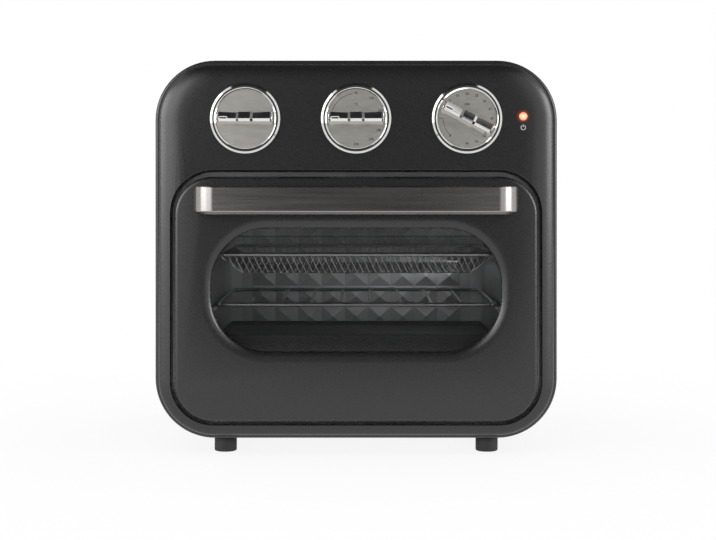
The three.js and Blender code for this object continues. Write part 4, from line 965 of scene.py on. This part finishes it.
# Cavity seal. A bead of black silicone, oval in section, that runs round the mouth of the
# cavity just behind the inner frame of the closed door.
seal_middle = face + 0.02
seal_inset = 0.006
seal_half_thick = 0.0024
seal_half_deep = 0.0036
cavity_half = 0.1272
cavity_low = 0.052
cavity_high = 0.222
cavity_corner = 0.0065
seal_profile = circle(1, 16) * (seal_half_thick, seal_half_deep) + (-seal_inset, seal_middle)


def cavity_outline(inset):
    """The cavity mouth's front view, drawn in by inset."""
    return rounded(cavity_half - inset, cavity_low + inset, cavity_high - inset, cavity_corner - inset)


seal = surface("cavity_seal", carried(cavity_outline, seal_profile), loop=True)
place_piece(seal, rubber, "housing", "rubber", "door_seal")


# Wire rack. Plated steel wire: a closed frame with round corners that runs on the cavity's
# ledges, and thinner rods welded across it from front to back.
rack_half = 0.1252
rack_front = face + 0.031
rack_rear = face + 0.253
rack_corner = 0.009
frame_wire = 0.0018
wire_rack_z = 0.1286
rod_count = 8
rod_pitch = 0.027
rod_radius = 0.0013
rod_end = 0.002


def frame_tube(z, radius):
    """A round tube at height z along the centre line of the rack's outline."""
    path = rounded(rack_half - radius, rack_front + radius, rack_rear - radius, rack_corner - radius, 10)
    along = np.roll(path, -1, axis=0) - np.roll(path, 1, axis=0)
    return swept(np.insert(path, 2, z, axis=1), along, circle(radius, 12))


def straight_rods(starts, ends, radius, sides):
    """Round rods between pairs of points, each a grid of two rings: end + radius * (u cos a + v sin a)."""
    direction = ends - starts
    direction /= np.linalg.norm(direction, axis=1, keepdims=True)
    helper = np.where(np.abs(direction[:, 2:]) < 0.9, [[0.0, 0.0, 1.0]], [[1.0, 0.0, 0.0]])
    u = np.cross(direction, helper)
    u /= np.linalg.norm(u, axis=1, keepdims=True)
    v = np.cross(direction, u)
    a = np.linspace(0, 2 * np.pi, sides + 1)[:-1, None]
    rings = radius * (u[:, None] * np.cos(a) + v[:, None] * np.sin(a))
    return np.stack((starts[:, None] + rings, ends[:, None] + rings), axis=1)


plated = speckled((0.55, 0.55, 0.54), (0.68, 0.68, 0.67), 0.16, 0.1, 200.0)
wire_plate = finish("wire_plate", {"Metallic": 1.0}, plated)
rod_x = (np.arange(rod_count) - (rod_count - 1) / 2) * rod_pitch
rod_starts = np.stack(np.broadcast_arrays(rod_x, rack_front + rod_end, wire_rack_z), axis=1)
rod_ends = rod_starts + (0, rack_rear - rack_front - 2 * rod_end, 0)
rods = straight_rods(rod_starts, rod_ends, rod_radius, 10)
rack_loop = surface("rack_frame_wire", frame_tube(wire_rack_z, frame_wire), loop=True)
place_piece(rack_loop, wire_plate, "wire_rack", "wire", "wire_rack")
place_piece(several("rack_rods", rods), wire_plate, "wire_rack", "wire")


# Mesh basket. A tray of crossed thin wires, pressed to shape with sloping walls and a
# higher back, and welded all round to a rim of thick wire.
basket_rim = 0.1728
basket_floor = 0.1562
floor_half = 0.1005
slope = 0.006
back_rise = 0.0095
back_inset = 0.002
mesh_pitch = 0.0056
mesh_lean = 0.008
floor_pitch = 0.008
strong_wire = 0.00036
light_wire = 0.00015
seam_wire = 0.0005
least_rise = 0.05
least_run = 0.01


def leaning(wall, lean):
    """Parallel wires over a four-sided wall a-b (low) to d-c (high), each leaning by lean on its way up.

    A wire is a share of the way up, and is kept where its shares inside the wall span least_rise.
    """
    a, b, c, d = wall
    length = np.linalg.norm(b - a)
    along = (b - a) / length
    left, right = (d - a) @ along, (c - b) @ along
    rise = (d - a) - left * along
    foot = np.arange(-length, 2 * length, mesh_pitch)
    low, high = np.zeros(len(foot)), np.ones(len(foot))
    for room, tilt in ((foot, lean - left), (length - foot, right - lean)):
        crossing = -room / tilt
        if tilt > 0:
            low = np.maximum(low, crossing)
        else:
            high = np.minimum(high, crossing)
    keep = high - low > least_rise
    ends = [a + (foot + lean * share)[:, None] * along + share[:, None] * rise for share in (low, high)]
    return ends[0][keep], ends[1][keep]


def floor_wires(front, rear):
    """Diagonals both ways over the floor, clipped to its rectangle and kept where least_run is left."""
    depth = rear - front
    across = np.arange(-floor_half - depth, floor_half + depth, floor_pitch)
    starts = []
    ends = []
    for way in (1, -1):
        x0, x1 = across, across + way * depth
        left, right = np.minimum(x0, x1), np.maximum(x0, x1)
        a0 = np.clip((-floor_half - x0) / (x1 - x0), 0, 1)
        a1 = np.clip((floor_half - x0) / (x1 - x0), 0, 1)
        lo, hi = np.minimum(a0, a1), np.maximum(a0, a1)
        keep = (hi - lo > least_run) & (right > -floor_half) & (left < floor_half)
        for share, bag in ((lo, starts), (hi, ends)):
            points = np.stack(
                np.broadcast_arrays(x0 + share * (x1 - x0), front + share * depth, basket_floor), axis=1
            )
            bag.append(points[keep])
    return np.concatenate(starts), np.concatenate(ends)


rim_half = rack_half - frame_wire
front_top, rear_top = rack_front + frame_wire, rack_rear - frame_wire
front_low, rear_low = front_top + slope, rear_top - slope
rear_half, rear_high = rim_half - back_inset, basket_rim + back_rise
walls = []
for low_y, top_y, top_half, top_z in (
    (front_low, front_top, rim_half, basket_rim),
    (rear_low, rear_top, rear_half, rear_high),
):
    low_edge = [(-floor_half, low_y, basket_floor), (floor_half, low_y, basket_floor)]
    walls.append(np.array(low_edge + [(top_half, top_y, top_z), (-top_half, top_y, top_z)]))
for side in (-1, 1):
    low_edge = [(side * floor_half, y, basket_floor) for y in (front_low, rear_low)]
    walls.append(np.array(low_edge + [(side * rim_half, y, basket_rim) for y in (rear_top, front_top)]))
strong = [leaning(wall, -mesh_lean) for wall in walls]
light = [leaning(wall, mesh_lean) for wall in walls] + [floor_wires(front_low, rear_low)]
rear_wall = walls[1]
seams = [(wall[:1], wall[1:2]) for wall in walls] + [(rear_wall[3:], rear_wall[2:3])]


def wires(name, pairs, radius, sides, *nodes):
    """Many straight wires, given as pairs of all their starts and all their ends, as one object."""
    starts, ends = (np.concatenate(points) for points in zip(*pairs))
    rods = straight_rods(starts, ends, radius, sides)
    place_piece(several(name, rods), wire_plate, "mesh_basket", "wire", *nodes)


rim = surface("basket_rim_wire", frame_tube(basket_rim, frame_wire), loop=True)
place_piece(rim, wire_plate, "mesh_basket", "wire", "basket_rim")
wall_nodes = [f"basket_{side}_wall" for side in ("front", "rear", "left", "right")]
wires("basket_strands", strong, strong_wire, 6, "mesh_basket", *wall_nodes)
wires("basket_cross_strands", light, light_wire, 5)
wires("basket_seams", seams, seam_wire, 6)


# Heaters. Two bent tubes of dark heat-treated steel: a loop over the cavity floor and an
# open ring in the roof round the fan.
heater_radius = 0.0032
ring_radius = 0.074
ring_z = 0.208
gap_angle = 20.05
terminal_low, terminal_high = (0, 0, 0.002), (0, 0, 0.024)


def open_tube(plan, z):
    """A heater tube at height z along plan points (x, y), which don't meet at their ends."""
    return swept(np.insert(plan, 2, z, axis=1), np.gradient(plan, axis=0), circle(heater_radius, 14))


lower_low, lower_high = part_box("lower_heater")
lower_bend = (lower_high[1] - lower_low[1]) / 2 - heater_radius
bend_middle = (lower_low[1] + lower_high[1]) / 2
bend_x = lower_low[0] + heater_radius + lower_bend
turn = bend(bend_x, bend_middle, lower_bend, 90, 270, 30)
loop_plan = np.concatenate(([(lower_high[0], turn[0][1])], turn, [(lower_high[0], turn[-1][1])]))
loop_z = (lower_low[2] + lower_high[2]) / 2
loop_tube = surface("lower_heater_tube", open_tube(loop_plan, loop_z))
heater_tone = steel((0.16, 0.15, 0.14), (0.26, 0.245, 0.23), 0.3, scale=120.0)
heater_steel = finish("heater_steel", {"Metallic": 1.0}, heater_tone)
place_piece(loop_tube, heater_steel, "housing", "heater_steel", "lower_heater")
fan_y = np.mean(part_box("circulation_fan"), axis=0)[1]
ring_plan = bend(0, fan_y, ring_radius, gap_angle, 360 - gap_angle, 60)
ring_ends = np.insert(ring_plan[[0, -1]], 2, ring_z, axis=1)
terminals = straight_rods(ring_ends - terminal_low, ring_ends + terminal_high, heater_radius, 14)
ring_tube = surface("upper_heater_tube", open_tube(ring_plan, ring_z))
place_piece(ring_tube, heater_steel, "housing", "heater_steel", "upper_heater")
place_piece(several("upper_heater_ends", terminals), heater_steel, "housing", "heater_steel")


# Sheet and small parts that keep the shape they are built with. The cavity and the fan
# guard are coated steel, the tray is enamelled, and the frame and brackets are zinc coated.
def coated(place):
    """A grey coat with a slow drift of tone and a fine grain."""
    drift = noise(place, 14.0)
    grain = noise(place, 300.0)
    return {
        "Base Color": between(drift, (0.26, 0.265, 0.27), (0.32, 0.325, 0.33)),
        "Roughness": 0.30 + 0.08 * grain,
        "Normal": bump(grain, 0.05, 0.0001),
    }


enamelled = speckled((0.010, 0.010, 0.011), (0.013, 0.013, 0.014), 0.40, 0.05, 40.0)
moulded = powder((0.010, 0.010, 0.011), (0.016, 0.016, 0.017), 0.45)
cavity_steel = finish("cavity_steel", {"Metallic": 0.35}, coated)
black_enamel = finish("black_enamel", {"Metallic": 0.0}, enamelled)
black_plastic = finish("black_plastic", {"Metallic": 0.0}, moulded)
cavity_nodes = [f"cavity_{part}" for part in ("side_left", "side_right", "floor", "ceiling", "back")]
frame_nodes = ["base_plate", "front_frame", "hinge_bracket_left", "hinge_bracket_right"]
fan_nodes = ["motor_bracket", "fan_motor", "circulation_fan", "cooling_fan"]
screw_nodes = [f"frame_screw_{row}_{side}" for row in ("upper", "lower") for side in ("left", "right")]
pin_nodes = [f"{pin}_{side}" for pin in ("handle_screw", "hinge_pin") for side in ("left", "right")]
kept = (
    (cavity_steel, cavity_nodes + ["fan_guard"]),
    (black_enamel, ["drip_tray"]),
    (zinc, frame_nodes + fan_nodes + ["thermostat", "timer_movement"]),
    (heater_steel, ["fan_shaft"]),
    (black_plastic, ["cord_inlet", "function_switch", "lamp_holder"]),
    (chrome, screw_nodes + pin_nodes),
)
for material, nodes in kept:
    for node in nodes:
        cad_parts[node].data.materials.clear()
        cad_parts[node].data.materials.append(material)


# Floor and world. A plain pale floor that keeps a soft shadow, under a plain white world.
# The camera, gloss and glass see it almost white near the oven, and white further out.
floor_half_size = 6
near_white, far_white = 0.25, 0.75
least_white = 0.88


def stage_plane(name, centre, half_x, half_y, tilt, material):
    """A flat rectangle of the studio, with its corners turned by tilt and moved to its centre."""
    corners = [(x * half_x, y * half_y, 0) for x, y in ((-1, -1), (1, -1), (1, 1), (-1, 1))]
    plane = bpy.data.meshes.new(name)
    plane.from_pydata(corners, [], [(0, 1, 2, 3)])
    plane.materials.append(material)
    obj = bpy.data.objects.new(name, plane)
    obj.location = centre
    obj.rotation_euler = tilt
    bpy.context.scene.collection.objects.link(obj)
    return obj


def studio_material(name, shine):
    """A material with no Principled shader: its whole surface is what shine(start) gives."""
    material = bpy.data.materials.new(name)
    material.use_nodes = True
    tree = material.node_tree
    tree.nodes.remove(tree.nodes["Principled BSDF"])
    tree.links.new(shine(Shade(tree)).socket, tree.nodes["Material Output"].inputs["Surface"])
    return material


def pale_floor(start):
    """Matt grey with a share of plain white, which grows outwards and is nothing to other light."""
    where = start.add("ShaderNodeTexCoord", {}, {}, "Object")
    radius = start.add("ShaderNodeVectorMath", {"operation": "LENGTH"}, {0: where}, "Value")
    span = {"Value": radius, "From Min": near_white, "From Max": far_white}
    spread = start.add("ShaderNodeMapRange", {}, span)
    matt = start.add("ShaderNodeBsdfDiffuse", {}, {"Color": (0.86, 0.86, 0.86, 1)})
    glow = start.add("ShaderNodeEmission", {}, {"Color": (1, 1, 1, 1), "Strength": 1.0})
    camera_ray = start.add("ShaderNodeLightPath", {}, {}, "Is Camera Ray")
    rays = camera_ray.socket.node.outputs
    glossy_ray = Shade(start.tree, rays["Is Glossy Ray"])
    glass_ray = Shade(start.tree, rays["Is Transmission Ray"])
    seen = start.maths("MINIMUM", camera_ray + glossy_ray + glass_ray, 1.0)
    white_share = seen * (least_white + (1 - least_white) * spread)
    return start.add("ShaderNodeMixShader", {}, {0: white_share, 1: matt, 2: glow})


floor_material = studio_material("floor", pale_floor)
stage_plane("floor", (0, 0, 0), floor_half_size, floor_half_size, (0, 0, 0), floor_material)
world = bpy.data.worlds.new("studio")
bpy.context.scene.world = world
world.use_nodes = True
world.node_tree.nodes["Background"].inputs["Color"].default_value = (1, 1, 1, 1)
world.node_tree.nodes["Background"].inputs["Strength"].default_value = 1.0


# Reflection cards. Dark flags and bright cards, as in a photographer's studio, that only
# reflections see: they give the satin paint and the chrome their dark and light bands.
upright = np.pi / 2
flag = 0.02


def reflection_card(name, centre, half_x, half_y, tilt, tone):
    """A card of an even grey tone, where a tone over 1 is brighter than white."""
    light = {"Color": (tone, tone, tone, 1), "Strength": 1.0}
    material = studio_material(name, lambda start: start.add("ShaderNodeEmission", {}, light))
    card = stage_plane(name, centre, half_x, half_y, tilt, material)
    card.visible_camera = False
    card.visible_diffuse = False
    card.visible_shadow = False
    card.visible_transmission = False


reflection_card("front_card", (0, -3.2, 0.6), 0.85, 0.9, (upright, 0, 0), 0.10)
reflection_card("upper_card", (-0.115, -3.2, 2.55), 1.115, 1.05, (upright, 0, 0), flag)
reflection_card("ground_card", (0, -2.15, 0.004), 0.45, 1.05, (0, 0, 0), flag)
reflection_card("top_card", (-0.11, -0.6, 2.6), 1.64, 2.6, (0, 0, 0), flag)
reflection_card("top_flag", (0, face + 0.010, 0.4725), 1.5, 0.1275, (upright, 0, 0), 0.25)
reflection_card("rear_card", (0, 3.0, 1.6), 5.0, 1.6, (upright, 0, 0), 0.03)
near_turn, far_turn = np.radians(30), np.radians(68)
for side, near_tone, far_tone in ((-1, 3.3, 5.2), (1, 1.0, 6.4)):
    near_tilt, far_tilt = (upright, 0, side * near_turn), (upright, 0, side * far_turn)
    reflection_card("near_card", (side * 1.58, -2.6, 0.95), 0.72, 0.75, near_tilt, near_tone)
    reflection_card("far_card", (side * 2.38, -1.43, 0.95), 0.85, 0.75, far_tilt, far_tone)


# Lamps. A softbox at each side and a fill in front light the outside, and three small
# strips inside the cavity light its back wall. No reflection shows them.
oven_middle = (0, 0, 0.2)
wall_y = face + 0.268


def softbox(name, centre, target, wide, high, watts):
    """An area light that faces a target."""
    lamp = bpy.data.lights.new(name, "AREA")
    lamp.shape = "RECTANGLE"
    lamp.size = wide
    lamp.size_y = high
    lamp.energy = watts
    obj = bpy.data.objects.new(name, lamp)
    obj.location = centre
    away = np.array(centre, float) - np.array(target, float)
    flat = np.hypot(away[0], away[1])
    obj.rotation_euler = (np.arctan2(flat, away[2]), 0, np.arctan2(away[1], away[0]) + np.pi / 2)
    obj.visible_glossy = False
    bpy.context.scene.collection.objects.link(obj)
    return obj


for name, side in (("left_softbox", -1), ("right_softbox", 1)):
    softbox(name, (side * 1.9, -0.3, 0.9), oven_middle, 1.2, 1.6, 4)
softbox("front_fill", (0, -2.8, 0.7), (0, 0, 0.15), 1.6, 0.6, 12)
shelf_place = (0.01, face + 0.238, basket_floor - 0.003)
side_place = (0.085, face + 0.12, basket_floor - 0.004)
roof_place = (0, face + 0.225, 0.2)
inside_lights = [
    softbox("shelf_strip", shelf_place, (0, wall_y, 0.12), 0.20, 0.01, 0.035),
    softbox("side_strip", side_place, (-0.05, wall_y, 0.13), 0.03, 0.02, 0.05),
    softbox("roof_strip", roof_place, (0, wall_y, 0.19), 0.22, 0.01, 0.06),
]
for light in inside_lights:
    light.visible_camera = False


# Camera. It stands level before the middle of the oven, at the height of the handle's top.
# The picture spans picture_width at the fascia, and shows the camera's height at level_row.
photo_wide, photo_high = 716, 540
level_row = 185
view_distance = 1.5
picture_width = 0.6183
camera_x, camera_z = 0.0016, 0.234
camera_data = bpy.data.cameras.new("camera")
camera = bpy.data.objects.new("camera", camera_data)
bpy.context.scene.collection.objects.link(camera)
camera_data.sensor_width = 36
camera_data.lens = camera_data.sensor_width * view_distance / picture_width
camera_data.shift_y = -(photo_high / 2 - level_row) / photo_wide
camera.location = (camera_x, face - view_distance, camera_z)
camera.rotation_euler = (upright, 0, 0)
bpy.context.scene.camera = camera
bpy.context.scene.view_settings.view_transform = "Standard"
